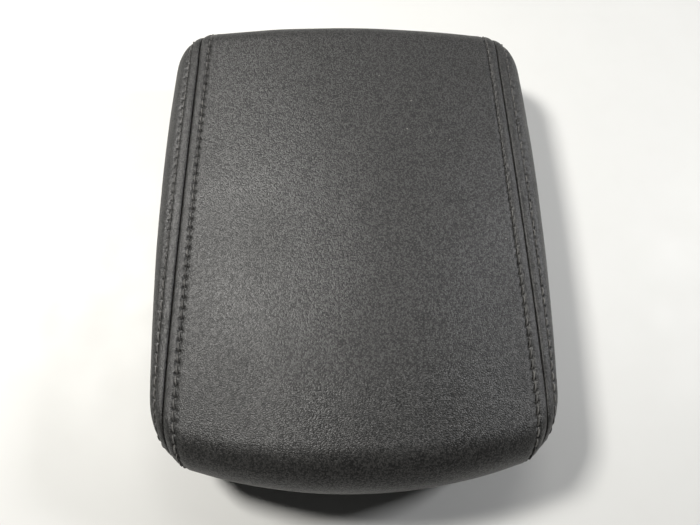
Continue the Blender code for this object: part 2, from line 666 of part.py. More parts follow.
def build_latch(plastic, steel):
    """Make the latch lever, the pin that it turns on and its return spring."""
    half = LATCH_HALF_WIDTH
    paddle_middle = LATCH_Z - LATCH_PADDLE_DROP
    paddle_z = (paddle_middle - LATCH_PADDLE_THICKNESS / 2, paddle_middle + LATCH_PADDLE_THICKNESS / 2)
    lever = join(
        rod_x((-half, half), LATCH_Y, LATCH_Z, LATCH_BARREL_RADIUS),
        box((-half, half), (LATCH_Y - LATCH_PADDLE_REACH, LATCH_Y), paddle_z),
        box((-HOOK_HALF_WIDTH, HOOK_HALF_WIDTH),
            (LATCH_Y - HOOK_THICKNESS / 2, LATCH_Y + HOOK_THICKNESS / 2), (LATCH_Z - HOOK_DROP, LATCH_Z)),
        box((-HOOK_HALF_WIDTH, HOOK_HALF_WIDTH),
            (LATCH_Y, LATCH_Y + HOOK_THICKNESS / 2 + HOOK_LIP),
            (LATCH_Z - HOOK_DROP, LATCH_Z - HOOK_DROP + HOOK_LIP_HEIGHT)))
    lever = cut(lever, rod_x((-2 * half, 2 * half), LATCH_Y, LATCH_Z, LATCH_PIN_RADIUS + CLEARANCE))
    lever_object = add_object("latch_lever", to_mesh(lever, "latch_lever"), plastic)
    set_origin(lever_object, (0.0, LATCH_Y, LATCH_Z))
    ear_end = half + 2 * CLEARANCE + LATCH_EAR_THICKNESS
    pin = rod_x((-ear_end, ear_end), LATCH_Y, LATCH_Z, LATCH_PIN_RADIUS)
    add_object("latch_pin", to_mesh(pin, "latch_pin"), steel)
    foot = paddle_z[1] + CLEARANCE + SPRING_WIRE_RADIUS
    top = FLANGE_BOTTOM - CLEARANCE - SPRING_WIRE_RADIUS
    coil = [Vector((SPRING_RADIUS * math.cos(turn), SPRING_Y + SPRING_RADIUS * math.sin(turn),
                    foot + (top - foot) * turn / (2 * math.pi * SPRING_TURNS)))
            for turn in spaced(0.0, 2 * math.pi * SPRING_TURNS, 10 * SPRING_TURNS)]
    add_object("latch_spring", to_mesh(strand(coil, SPRING_WIRE_RADIUS, 4), "latch_spring"), steel)


def set_origin(thing, place):
    """Move an object's origin without moving its shape."""
    thing.data.transform(Matrix.Translation(-Vector(place)))
    thing.location = place


def strand(path, radius, sides):
    """Return a round strand along a path, with closed ends."""
    shape = bmesh.new()
    loops = []
    aside = Vector((1, 0, 0))
    for number, middle in enumerate(path):
        before, after = path[max(number - 1, 0)], path[min(number + 1, len(path) - 1)]
        ahead = (after - before).normalized()
        aside = (aside - aside.dot(ahead) * ahead).normalized()
        upward = aside.cross(ahead)
        loops.append([shape.verts.new(middle + radius * (
            math.cos(2 * math.pi * side / sides) * aside + math.sin(2 * math.pi * side / sides) * upward))
            for side in range(sides)])
    for loop, next_loop in zip(loops, loops[1:]):
        for side in range(sides):
            other = (side + 1) % sides
            shape.faces.new((loop[side], loop[other], next_loop[other], next_loop[side]))
    shape.faces.new(loops[0])
    shape.faces.new(loops[-1])
    bmesh.ops.recalc_face_normals(shape, faces=shape.faces)
    return shape


def stitch_path(side, place):
    """Return the middle line of one row of stitches, dipping into the cover at each stitch's end."""
    u = side * (1 + place)
    line = [(v, COVER_SKIN.point(u, v)) for v in spaced(-THREAD_END, THREAD_END, 400)]
    lengths = [0.0]
    for (_, start), (_, end) in zip(line, line[1:]):
        lengths.append(lengths[-1] + (end - start).length)
    count = 2 * round(lengths[-1] / STITCH_LENGTH)
    path, step = [], 0
    for number in range(count + 1):
        target = lengths[-1] * number / count
        while step < len(lengths) - 2 and lengths[step + 1] < target:
            step += 1
        share = (target - lengths[step]) / (lengths[step + 1] - lengths[step])
        v = line[step][0] + share * (line[step + 1][0] - line[step][0])
        lift = THREAD_RADIUS + CLEARANCE + (THREAD_SINK if number % 2 else 0.0)
        path.append(COVER_SKIN.point(u, v, 0.0, -lift))
    return path


def build_stitching(thread):
    """Make the two rows of decorative stitches along each seam."""
    offset = STITCH_ROW_OFFSET / SIDE_SPAN
    for side, side_name in ((-1, "left"), (1, "right")):
        for sign, row_name in ((-1, "inner"), (1, "outer")):
            name = "%s_%s_stitching" % (side_name, row_name)
            row = strand(stitch_path(side, SEAM_PLACE + sign * offset), THREAD_RADIUS, THREAD_SIDES)
            add_object(name, to_mesh(row, name), thread)


def build_lid_hinge(steel, nylon):
    """Make the hinge plate under the lid, its pin, bushings and clip."""
    bore = HINGE_PIN_RADIUS + BUSHING_WALL + 2 * CLEARANCE
    half = HINGE_PLATE_HALF_WIDTH
    parts = []
    for side in (-1, 1):
        x_range = tuple(sorted((side * KNUCKLE_INNER_X, side * KNUCKLE_OUTER_X)))
        parts.append(rod_x(x_range, HINGE_Y, HINGE_Z, KNUCKLE_RADIUS))
        parts.append(box(x_range, (HINGE_Y - HINGE_PLATE_SETBACK - HINGE_PLATE_THICKNESS, HINGE_Y),
                         (HINGE_PLATE_BOTTOM + LEAF_STEP, HINGE_PLATE_TOP - LEAF_STEP)))
    y_range = (HINGE_Y - HINGE_PLATE_REACH, HINGE_Y - HINGE_PLATE_SETBACK)
    plate = slab(rounded_outline(half, y_range, PLATE_CORNER, 3),
                 (HINGE_PLATE_BOTTOM, HINGE_PLATE_TOP))
    plate = join(plate, *parts)
    holes = [rod_z(x, HINGE_SCREW_Y, (HINGE_Z, 2 * HINGE_PLATE_TOP), SCREW_SHANK_RADIUS + CLEARANCE)
             for x in HINGE_SCREW_PLACES]
    plate = cut(plate, rod_x((-2 * half, 2 * half), HINGE_Y, HINGE_Z, bore), *holes)
    add_object("lid_hinge_plate", to_mesh(plate, "lid_hinge_plate"), steel)
    inner, outer = HINGE_PIN_RADIUS + CLEARANCE, HINGE_PIN_RADIUS + CLEARANCE + BUSHING_WALL
    length = KNUCKLE_OUTER_X - KNUCKLE_INNER_X
    for side, name in ((-1, "hinge_bushing_left"), (1, "hinge_bushing_right")):
        bush = turned([(inner, 0.0), (outer, 0.0), (outer, length + CLEARANCE),
                       (BUSHING_FLANGE_RADIUS, length + CLEARANCE),
                       (BUSHING_FLANGE_RADIUS, length + CLEARANCE + BUSHING_FLANGE_THICKNESS),
                       (inner, length + CLEARANCE + BUSHING_FLANGE_THICKNESS)], BARREL_SEGMENTS)
        bush = along_x(bush, 0.0, 0.0, 0.0)
        if side < 0:
            bmesh.ops.rotate(bush, cent=(0, 0, 0), matrix=Matrix.Rotation(math.pi, 3, "Z"), verts=bush.verts)
        bmesh.ops.translate(bush, vec=(side * KNUCKLE_INNER_X, HINGE_Y, HINGE_Z), verts=bush.verts)
        add_object(name, to_mesh(bush, name), nylon)
    head = EAR_OUTER_X + CLEARANCE
    clip_at = 2 * head + CLIP_THICKNESS
    groove = HINGE_PIN_RADIUS - PIN_GROOVE_DEPTH
    end = clip_at + 3 * CLIP_THICKNESS
    pin = turned([(0.0, -PIN_HEAD_THICKNESS), (PIN_HEAD_RADIUS, -PIN_HEAD_THICKNESS), (PIN_HEAD_RADIUS, 0.0),
                  (HINGE_PIN_RADIUS, 0.0), (HINGE_PIN_RADIUS, clip_at - CLIP_THICKNESS - CLEARANCE),
                  (groove, clip_at - CLIP_THICKNESS - CLEARANCE), (groove, clip_at + CLEARANCE),
                  (HINGE_PIN_RADIUS, clip_at + CLEARANCE), (HINGE_PIN_RADIUS, end), (0.0, end)],
                 BARREL_SEGMENTS)
    add_object("hinge_pin", to_mesh(along_x(pin, -head, HINGE_Y, HINGE_Z), "hinge_pin"), steel)
    inner = groove + CLEARANCE
    arc = [math.radians(angle) for angle in spaced(120, 420, 12)]
    outline = [(CLIP_RADIUS * math.cos(a), CLIP_RADIUS * math.sin(a)) for a in arc]
    outline += [(inner * math.cos(a), inner * math.sin(a)) for a in reversed(arc)]
    ring = slab(outline, (clip_at - CLIP_THICKNESS, clip_at))
    add_object("hinge_pin_clip", to_mesh(along_x(ring, -head, HINGE_Y, HINGE_Z), "hinge_pin_clip"), steel)


def build_console_bracket(steel):
    """Make the bracket that is screwed to the console and carries the hinge pin in two ears."""
    rear = HINGE_Y + BRACKET_TAIL
    base = slab(rounded_outline(BRACKET_HALF_WIDTH, (HINGE_Y - BRACKET_REACH, rear), PLATE_CORNER, 3),
                (0.0, BRACKET_THICKNESS))
    parts = []
    for side in (-1, 1):
        x_range = tuple(sorted((side * EAR_INNER_X, side * EAR_OUTER_X)))
        foot = BRACKET_THICKNESS / 2
        arc = [math.radians(angle) for angle in spaced(0, 150, 7)]
        outline = [(HINGE_Y - EAR_FOOT, foot), (rear - EAR_SETBACK, foot)]
        outline += [(HINGE_Y + EAR_RADIUS * math.cos(a), HINGE_Z + EAR_RADIUS * math.sin(a)) for a in arc]
        parts.append(plate_x(outline, x_range))
    bracket = join(base, *parts)
    through = (-BRACKET_THICKNESS, 2 * BRACKET_THICKNESS)
    holes = [rod_z(side * BRACKET_HOLE_X, HINGE_Y - reach, through, BRACKET_HOLE_RADIUS)
             for side in (-1, 1) for reach in BRACKET_HOLE_REACHES]
    pin_hole = rod_x((-2 * EAR_OUTER_X, 2 * EAR_OUTER_X), HINGE_Y, HINGE_Z, HINGE_PIN_RADIUS + CLEARANCE)
    add_object("console_bracket", to_mesh(cut(bracket, pin_hole, *holes), "console_bracket"), steel)


def hang_on_hinge():
    """Parent the lid's pieces to an empty on the hinge axis, and the latch to one on its pin."""
    hinge = bpy.data.objects.new("hinge_axis", None)
    hinge.location = (0.0, HINGE_Y, HINGE_Z)
    bpy.context.scene.collection.objects.link(hinge)
    bpy.context.view_layer.update()
    for thing in bpy.data.objects:
        if thing.type == "MESH" and thing.name not in ("console_bracket", "hinge_pin", "hinge_pin_clip"):
            thing.parent = hinge
            thing.matrix_parent_inverse = hinge.matrix_world.inverted()


def main():
    """Build every sub-part of the armrest."""
    clear_scene()
    build_covers(finish("charcoal_leather", (0.035, 0.033, 0.032), 0.55))
    build_stitching(finish("grey_thread", (0.12, 0.115, 0.11), 0.7))
    build_foam_and_carrier(finish("foam", (0.55, 0.50, 0.38), 0.95),
                           finish("carrier_plastic", (0.03, 0.03, 0.03), 0.6))
    build_inner_panel(finish("grained_plastic", (0.025, 0.025, 0.026), 0.6))
    build_screws(finish("black_screw_steel", (0.05, 0.05, 0.055), 0.4, 1.0))
    build_rubber_stops(finish("black_rubber", (0.015, 0.015, 0.015), 0.8))
    build_latch(finish("latch_plastic", (0.02, 0.02, 0.021), 0.4),
                finish("spring_steel", (0.55, 0.55, 0.56), 0.3, 1.0))
    build_lid_hinge(finish("zinc_steel", (0.60, 0.60, 0.58), 0.35, 1.0),
                    finish("nylon", (0.75, 0.74, 0.70), 0.5))
    build_console_bracket(finish("black_painted_steel", (0.03, 0.03, 0.032), 0.45, 0.0))
    hang_on_hinge()


main()
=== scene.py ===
"""Looks of the car armrest: a padded console lid with its latch, hinge and bracket.

Everything is in metres, in the frame of the solids: +Z up, the latch towards -Y, the hinge towards +Y.
"""

import logging
from dataclasses import dataclass, field
from enum import Enum
from math import acos, atan2, copysign, cos, exp, floor, hypot, pi, radians, sin, sqrt
from typing import Any

import bmesh
import bpy
from bmesh.types import BMEdge, BMesh, BMVert
from bpy.types import Material, Mesh, Node, NodeSocket, NodeTree, Object, Scene
from mathutils import Euler, Matrix, Vector, noise

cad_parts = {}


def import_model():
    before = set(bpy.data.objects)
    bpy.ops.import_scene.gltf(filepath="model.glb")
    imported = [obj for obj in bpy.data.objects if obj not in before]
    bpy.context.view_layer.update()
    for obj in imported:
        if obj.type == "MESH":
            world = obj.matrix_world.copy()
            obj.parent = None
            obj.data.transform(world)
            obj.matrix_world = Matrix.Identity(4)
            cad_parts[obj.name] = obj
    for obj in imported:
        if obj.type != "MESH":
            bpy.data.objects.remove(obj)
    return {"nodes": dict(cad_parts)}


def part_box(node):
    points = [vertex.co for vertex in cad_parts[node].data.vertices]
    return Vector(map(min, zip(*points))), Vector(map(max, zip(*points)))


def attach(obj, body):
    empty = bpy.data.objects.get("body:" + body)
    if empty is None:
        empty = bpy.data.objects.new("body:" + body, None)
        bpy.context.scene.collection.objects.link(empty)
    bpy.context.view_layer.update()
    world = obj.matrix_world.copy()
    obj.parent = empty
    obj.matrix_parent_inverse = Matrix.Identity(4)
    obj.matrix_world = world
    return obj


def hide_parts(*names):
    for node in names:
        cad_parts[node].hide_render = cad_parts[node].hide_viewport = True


LOG = logging.getLogger("armrest")
MM = 0.001
# A face this large, in square metres, is a flat of its moulding, so it is never shaded as round
FLAT_AREA = 1e-4
# Bands that a wave texture of scale one has in each unit of length
WAVE_BANDS = 3.2
Source = Node | NodeSocket


class Body(Enum):
    """The CAD bodies that the pieces ride on."""

    LID = "lid"
    LATCH = "latch"
    CONSOLE = "console"


# Colours and node helpers

def linear(colour: str) -> tuple[float, float, float, float]:
    """Turn an sRGB hex colour into linear RGBA.

    Args:
        colour: six hex digits, with or without a leading hash.

    Returns:
        The linear colour with an alpha of one.
    """
    digits = colour.lstrip("#")
    parts = [int(digits[place:place + 2], 16) / 255 for place in (0, 2, 4)]
    red, green, blue = (part / 12.92 if part <= 0.04045 else ((part + 0.055) / 1.055) ** 2.4
                        for part in parts)
    return red, green, blue, 1.0


def feed(tree: NodeTree, node: Node, links: dict[Any, Source]) -> None:
    """Link what feeds a node to its inputs.

    Args:
        tree: the node tree.
        node: the node that is fed.
        links: sockets by input name or number, or nodes where the first output is meant.
    """
    for name, source in links.items():
        tree.links.new(source.outputs[0] if isinstance(source, Node) else source, node.inputs[name])


def add_node(tree: NodeTree, kind: str, values: dict[Any, Any] | None = None,
             links: dict[Any, Source] | None = None, **settings: Any) -> Node:
    """Add a shader node with its settings and links.

    Args:
        tree: the node tree that takes the node.
        kind: the node's type without its ShaderNode prefix.
        values: numbers or colours for the inputs, by name or number.
        links: what feeds the inputs, by name or number.
        settings: attributes of the node itself.

    Returns:
        The new node.
    """
    node = tree.nodes.new("ShaderNode" + kind)
    for name, value in settings.items():
        setattr(node, name, value)
    for name, value in (values or {}).items():
        node.inputs[name].default_value = value
    feed(tree, node, links or {})
    return node


def sized(size_mm: float, detail: float = 2.0) -> dict[str, float]:
    """Return the values of a noise with features of a size, and octaves of finer detail."""
    return {"Scale": 1 / (size_mm * MM), "Detail": detail}


def ramp(low: float, high: float, start: float = 0.3, end: float = 0.7) -> dict[str, float]:
    """Return the values that map the range from start to end onto that from low to high."""
    return {"From Min": start, "From Max": end, "To Min": low, "To Max": high}


@dataclass(frozen=True)
class Finish:
    """A surface finish: a relief, a gloss that varies and clouds of a second colour.

    Subclasses give the relief that their process leaves. The gloss follows it, unless it has its own size.
    """

    name: str
    colour: str
    roughness: float
    ior: float = 1.5
    metallic: float = 0.0
    sheen: float = 0.0
    relief_strength: float = 0.5
    depth_mm: float = 0.04
    gloss_mm: float = 0.0
    gloss_change: tuple[float, float] = (0.0, 0.0)
    cloud_mm: float = 12.0
    cloud_detail: float = 2.0
    cloud: float = 0.12
    cloud_range: tuple[float, float] = (0.3, 0.7)
    cloud_colour: str = "#4a4743"

    def material(self) -> Material:
        """Build the finish.

        Returns:
            The new material.
        """
        made = bpy.data.materials.new(self.name)
        made.use_nodes = True
        tree = made.node_tree
        shader = tree.nodes["Principled BSDF"]
        for name, value in (("Base Color", linear(self.colour)), ("Roughness", self.roughness),
                            ("IOR", self.ior), ("Metallic", self.metallic), ("Sheen Weight", self.sheen)):
            shader.inputs[name].default_value = value
        feed(tree, shader, self.pattern(tree, add_node(tree, "TexCoord").outputs["Object"]))
        return made

    def relief(self, tree: NodeTree, place: NodeSocket) -> Source:
        """Return the height of the relief, which each simple finish gives."""
        raise NotImplementedError

    def gloss(self, tree: NodeTree, value: Source) -> Node:
        """Vary the roughness by a value.

        Args:
            tree: the material's nodes.
            value: what it follows.

        Returns:
            The node that gives the roughness.
        """
        less, more = self.gloss_change
        values = ramp(self.roughness - less, self.roughness + more)
        return add_node(tree, "MapRange", values, {"Value": value})

    def pattern(self, tree: NodeTree, place: NodeSocket) -> dict[str, Source]:
        """Add the pattern of the finish.

        Args:
            tree: the material's nodes.
            place: Object coordinates, in metres.

        Returns:
            What feeds the shader, by the names of its inputs.
        """
        height = self.relief(tree, place)
        bump = add_node(tree, "Bump", {"Strength": self.relief_strength, "Distance": self.depth_mm * MM},
                        {"Height": height})
        if self.gloss_mm:
            height = add_node(tree, "TexNoise", sized(self.gloss_mm), {"Vector": place})
        clouds = add_node(tree, "TexNoise", sized(self.cloud_mm, self.cloud_detail), {"Vector": place})
        share = add_node(tree, "MapRange", ramp(0.0, self.cloud, *self.cloud_range), {"Value": clouds})
        tone = add_node(tree, "Mix", {6: linear(self.colour), 7: linear(self.cloud_colour)}, {0: share},
                        data_type="RGBA").outputs[2]
        fed = {"Normal": bump, "Base Color": tone}
        if any(self.gloss_change):
            fed["Roughness"] = self.gloss(tree, height)
        return fed


@dataclass(frozen=True)
class Scuff:
    """A pale mark that wear has left on the cover: its middle, length and width, turn and strength."""

    place_mm: tuple[float, float, float]
    size_mm: tuple[float, float]
    turn: float
    strength: float


@dataclass(frozen=True)
class GrainedUpholstery(Finish):
    """Calendered vinyl-coated upholstery, embossed with a fine pebble grain.

    The eye sees a near-black satin skin whose grain breaks the highlight into small sparkles, a little more
    polished where an elbow rubs it, with a few pale scuffs. The pebble tips are painted lighter and the
    valleys darker, a painted sheen and shade, mixed with a random tone for each pebble. The grain is drawn
    as coarse as the photo's speckle, which may be coarser than the real one.
    """

    depth_mm: float = 0.12
    gloss_mm: float = 45.0
    gloss_change: tuple[float, float] = (0.05, 0.05)
    grain_mm: float = 0.64
    valley: tuple[float, float] = (0.10, 0.80)
    pore_mm: float = 0.45
    pore_share: float = 0.5
    wave_mm: float = 14.0
    wave_depth_mm: float = 0.5
    wave_strength: float = 0.35
    sparkle: tuple[float, float] = (0.36, 0.70)
    open_grain: tuple[float, float] = (0.6, 2.0)
    # The lighter tone of the pebble tips: a painted sheen on the tips, mixed with a random tone for each pebble
    cloud_colour: str = "#2b2a28"
    scuff_colour: str = "#8d8a85"
    scuff_speck_mm: float = 0.7
    scuff_reach_mm: float = 4.0
    scuffs: tuple[Scuff, ...] = ()

    def pattern(self, tree: NodeTree, place: NodeSocket) -> dict[str, Source]:
        """Emboss the grain, vary the gloss and lay the scuffs over the colour.

        Args:
            tree: the material's nodes.
            place: Object coordinates, in metres.

        Returns:
            What feeds the shader.
        """
        pebbles = add_node(tree, "TexVoronoi", {"Scale": 1 / (self.grain_mm * MM)}, {"Vector": place}).outputs
        valleys = add_node(tree, "MapRange", ramp(1.0, 0.0, *self.valley), {"Value": pebbles["Distance"]})
        lots = add_node(tree, "MapRange", ramp(0.0, 1.0), {"Value": pebbles["Color"]})
        pores = add_node(tree, "TexNoise", sized(self.pore_mm), {"Vector": place})
        skin = add_node(tree, "Math", {1: self.pore_share}, {0: pores}, operation="MULTIPLY")
        relief = add_node(tree, "Math", {}, {0: valleys, 1: skin}, operation="ADD")
        grain = add_node(tree, "Bump", {"Strength": 1.0, "Distance": self.depth_mm * MM}, {"Height": relief})
        waves = add_node(tree, "TexNoise", sized(self.wave_mm), {"Vector": place})
        lie = add_node(tree, "Bump", {"Strength": self.wave_strength, "Distance": self.wave_depth_mm * MM},
                       {"Height": waves, "Normal": grain})
        rub = add_node(tree, "TexNoise", sized(self.gloss_mm, 3.0), {"Vector": place})
        # The pebble tips are painted lighter and the valleys darker, a painted sheen and shade, mixed with a
        # random tone for each pebble
        mixed = add_node(tree, "Math", {}, {0: relief, 1: lots}, operation="ADD")
        shine = add_node(tree, "MapRange", ramp(*self.sparkle, *self.open_grain), {"Value": mixed})
        painted_sheen_and_tone = add_node(tree, "MapRange", ramp(0.0, 1.0, *self.open_grain), {"Value": mixed})
        tone = add_node(tree, "Mix", {6: linear(self.colour), 7: linear(self.cloud_colour)}, {0: painted_sheen_and_tone},
                        data_type="RGBA").outputs[2]
        for mark in self.scuffs:
            tone = self.scuffed(tree, place, tone, mark)
        return {"Normal": lie, "Roughness": self.gloss(tree, rub), "Specular IOR Level": shine,
                "Base Color": tone}

    def scuffed(self, tree: NodeTree, place: NodeSocket, tone: NodeSocket, mark: Scuff) -> NodeSocket:
        """Lay one scuff over the colour.

        Args:
            tree: the material's nodes.
            place: Object coordinates, in metres.
            tone: the colour so far.
            mark: the scuff.

        Returns:
            The colour with the scuff.
        """
        length, width = mark.size_mm
        centred = add_node(tree, "Mapping", {
            "Location": Vector(mark.place_mm) * MM, "Rotation": (0.0, 0.0, radians(mark.turn)),
            "Scale": Vector((length / 2, width / 2, self.scuff_reach_mm)) * MM},
            {"Vector": place}, vector_type="TEXTURE")
        away = add_node(tree, "VectorMath", {}, {0: centred}, operation="LENGTH").outputs["Value"]
        spot = add_node(tree, "MapRange", ramp(mark.strength, 0.0, 0.3, 1.0), {"Value": away})
        specks = add_node(tree, "TexNoise", sized(self.scuff_speck_mm), {"Vector": place})
        broken = add_node(tree, "MapRange", ramp(0.0, 1.0, 0.28, 0.50), {"Value": specks})
        amount = add_node(tree, "Math", {}, {0: spot, 1: broken}, operation="MULTIPLY")
        return add_node(tree, "Mix", {7: linear(self.scuff_colour)}, {0: amount, 6: tone},
                        data_type="RGBA").outputs[2]


@dataclass(frozen=True)
class BondedThread(Finish):
    """Twisted and bonded polyester sewing thread: soft sheen, with the ply's twist just showing.

    The clouds are dust.
    """

    sheen: float = 0.25
    relief_strength: float = 0.6
    depth_mm: float = 0.08
    cloud_mm: float = 9.0
    cloud: float = 0.7
    cloud_colour: str = "#6f6d69"
    twist_mm: float = 0.55
    twist_turn: float = 40.0

    def relief(self, tree: NodeTree, place: NodeSocket) -> Source:
        """Wind the ply around the thread as slanting ridges."""
        slanted = add_node(tree, "Mapping", {"Rotation": (0.0, 0.0, radians(self.twist_turn))},
                           {"Vector": place})
        return add_node(tree, "TexWave", {"Scale": 1 / (self.twist_mm * MM * WAVE_BANDS), "Distortion": 0.6},
                        {"Vector": slanted}).outputs["Fac"]


@dataclass(frozen=True)
class OpenCellFoam(Finish):
    """Moulded open cell foam: dull, with cells under a millimetre across, and yellowed unevenly by age."""

    relief_strength: float = 0.8
    depth_mm: float = 0.3
    cloud_mm: float = 25.0
    cloud: float = 0.6
    cloud_colour: str = "#b59d6b"
    cell_mm: float = 0.9

    def relief(self, tree: NodeTree, place: NodeSocket) -> Source:
        """Pit the surface with cells."""
        return add_node(tree, "TexVoronoi", {"Scale": 1 / (self.cell_mm * MM)},
                        {"Vector": place}).outputs["Distance"]


@dataclass(frozen=True)
class MouldedPlastic(Finish):
    """Injection-moulded plastic with the texture of its mould: a fine even grain, rubbed glossier in places.

    The grain is drawn coarser than a mould's, which would be too fine to show. The clouds are dust.
    """

    gloss_mm: float = 30.0
    gloss_change: tuple[float, float] = (0.07, 0.07)
    cloud_detail: float = 4.0
    cloud_range: tuple[float, float] = (0.45, 0.75)
    grain_mm: float = 0.7

    def relief(self, tree: NodeTree, place: NodeSocket) -> Source:
        """Print the mould's grain."""
        return add_node(tree, "TexNoise", sized(self.grain_mm, 3.0), {"Vector": place})


@dataclass(frozen=True)
class DrawnMetal(Finish):
    """Rolled or drawn steel under a thin plating or phosphate: fine lines along the draw, cloudy tone.

    The lines are drawn coarser than real ones, which would be too fine to show.
    """

    metallic: float = 1.0
    relief_strength: float = 0.25
    depth_mm: float = 0.02
    gloss_change: tuple[float, float] = (0.06, 0.08)
    cloud_mm: float = 7.0
    cloud_detail: float = 3.0
    cloud: float = 0.5
    line_mm: float = 0.35
    line_stretch: float = 12.0

    def relief(self, tree: NodeTree, place: NodeSocket) -> Source:
        """Draw the lines."""
        stretched = add_node(tree, "Mapping", {"Scale": (1.0, self.line_stretch, self.line_stretch)},
                             {"Vector": place})
        return add_node(tree, "TexNoise", sized(self.line_mm * self.line_stretch, 3.0), {"Vector": stretched})


# Finishes, each named for what it is made of and how

COVER = GrainedUpholstery("calendered_vinyl_upholstery", "#0a0a09", 0.48, ior=1.58, scuffs=(
    Scuff((-65.6, 61.0, 58.8), (14.0, 0.9), 7.0, 0.30),
    Scuff((15.2, 83.3, 59.0), (1.1, 0.8), 20.0, 0.9),
    Scuff((31.7, 67.9, 59.0), (1.4, 0.9), 60.0, 0.8),
    Scuff((28.6, 50.2, 59.5), (1.0, 0.8), 0.0, 1.0),
    Scuff((50.7, 44.6, 59.0), (1.1, 0.9), 40.0, 1.0),
    Scuff((74.9, -9.9, 56.5), (1.1, 0.9), 10.0, 0.9),
    Scuff((41.1, 49.6, 59.5), (5.5, 0.7), 108.0, 0.35),
))
THREAD = BondedThread("bonded_polyester_thread", "#201f1e", 0.55)
FOAM = OpenCellFoam("moulded_polyurethane_foam", "#d8c79c", 0.95)
CARRIER = MouldedPlastic("moulded_glass_filled_nylon", "#242424", 0.60)
PANEL = MouldedPlastic("grained_polypropylene", "#1f1f20", 0.58, grain_mm=0.9, depth_mm=0.06)
STOP = MouldedPlastic("moulded_rubber", "#151515", 0.80, grain_mm=0.5, depth_mm=0.03, cloud=0.3)
LEVER = MouldedPlastic("satin_acetal", "#1a1a1b", 0.38, grain_mm=0.4, depth_mm=0.01)
SCREW = DrawnMetal("black_phosphated_steel", "#34343a", 0.42, cloud_colour="#48484c")
BRIGHT = DrawnMetal("drawn_bright_steel", "#c3c3c4", 0.28, cloud_colour="#aaaaab")
ZINC = DrawnMetal("zinc_plated_sheet_steel", "#c9c9c4", 0.34, cloud_colour="#a9a99f")
NYLON = MouldedPlastic("natural_nylon", "#e2e0da", 0.45, grain_mm=0.4, depth_mm=0.01, cloud_colour="#b9b4a6")
PAINT = MouldedPlastic("black_electrocoat", "#202022", 0.42, grain_mm=0.35, depth_mm=0.015)


# Helpers for pieces

def add_piece(node: str, ending: str, shape: BMesh, body: Body, material: Material,
              smooth: float = 35.0) -> Object:
    """Turn a bmesh into a finished piece that stands for a CAD node.

    Args:
        node: the CAD node's name, which the piece's name starts with.
        ending: the last part of the piece's name.
        shape: its mesh, which is freed.
        body: the CAD body that it moves with.
        material: its finish.
        smooth: edges that turn more than this many degrees stay sharp.

    Returns:
        The new object.
    """
    name = f"{node}_{ending}"
    mesh = bpy.data.meshes.new(name)
    shape.to_mesh(mesh)
    shape.free()
    mesh.materials.append(material)
    mesh.shade_smooth()
    mesh.set_sharp_from_angle(angle=radians(smooth))
    for face in mesh.polygons:
        face.use_smooth = face.area < FLAT_AREA
    piece = bpy.data.objects.new(name, mesh)
    bpy.context.scene.collection.objects.link(piece)
    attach(piece, body.value)
    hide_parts(node)
    LOG.info("%s: %d faces", name, len(mesh.polygons))
    return piece


def grown(shape: BMesh, edges: list[BMEdge]) -> tuple[list[BMVert], list[BMEdge]]:
    """Extrude a row or ring of edges where it lies.

    Args:
        shape: the mesh.
        edges: the edges.

    Returns:
        The new vertices, and the new edges between them.
    """
    added = bmesh.ops.extrude_edge_only(shape, edges=edges)["geom"]
    verts = [item for item in added if isinstance(item, BMVert)]
    inside = set(verts)
    return verts, [item for item in added
                   if isinstance(item, BMEdge) and all(vert in inside for vert in item.verts)]


def softened(node: Object, width: float, segments: int = 2, angle: float = 40.0) -> BMesh:
    """Return a merged copy of a CAD node's mesh with its sharp edges rounded.

    Args:
        node: the CAD node.
        width: width of the rounding in metres.
        segments: faces across the rounding.
        angle: edges that turn more than this many degrees are rounded.

    Returns:
        The copy.
    """
    shape = bmesh.new()
    shape.from_mesh(node.data)
    bmesh.ops.remove_doubles(shape, verts=shape.verts, dist=1e-6)
    bmesh.ops.dissolve_limit(shape, angle_limit=radians(0.5), verts=shape.verts, edges=shape.edges)
    sharp = [edge for edge in shape.edges
             if len(edge.link_faces) == 2 and edge.calc_face_angle(0.0) > radians(angle)]
    bmesh.ops.bevel(shape, geom=sharp, offset=width, offset_type="OFFSET", segments=segments, profile=0.5,
                    affect="EDGES", clamp_overlap=True, material=-1)
    return shape


# The padded skin, in the same coordinates as the solids

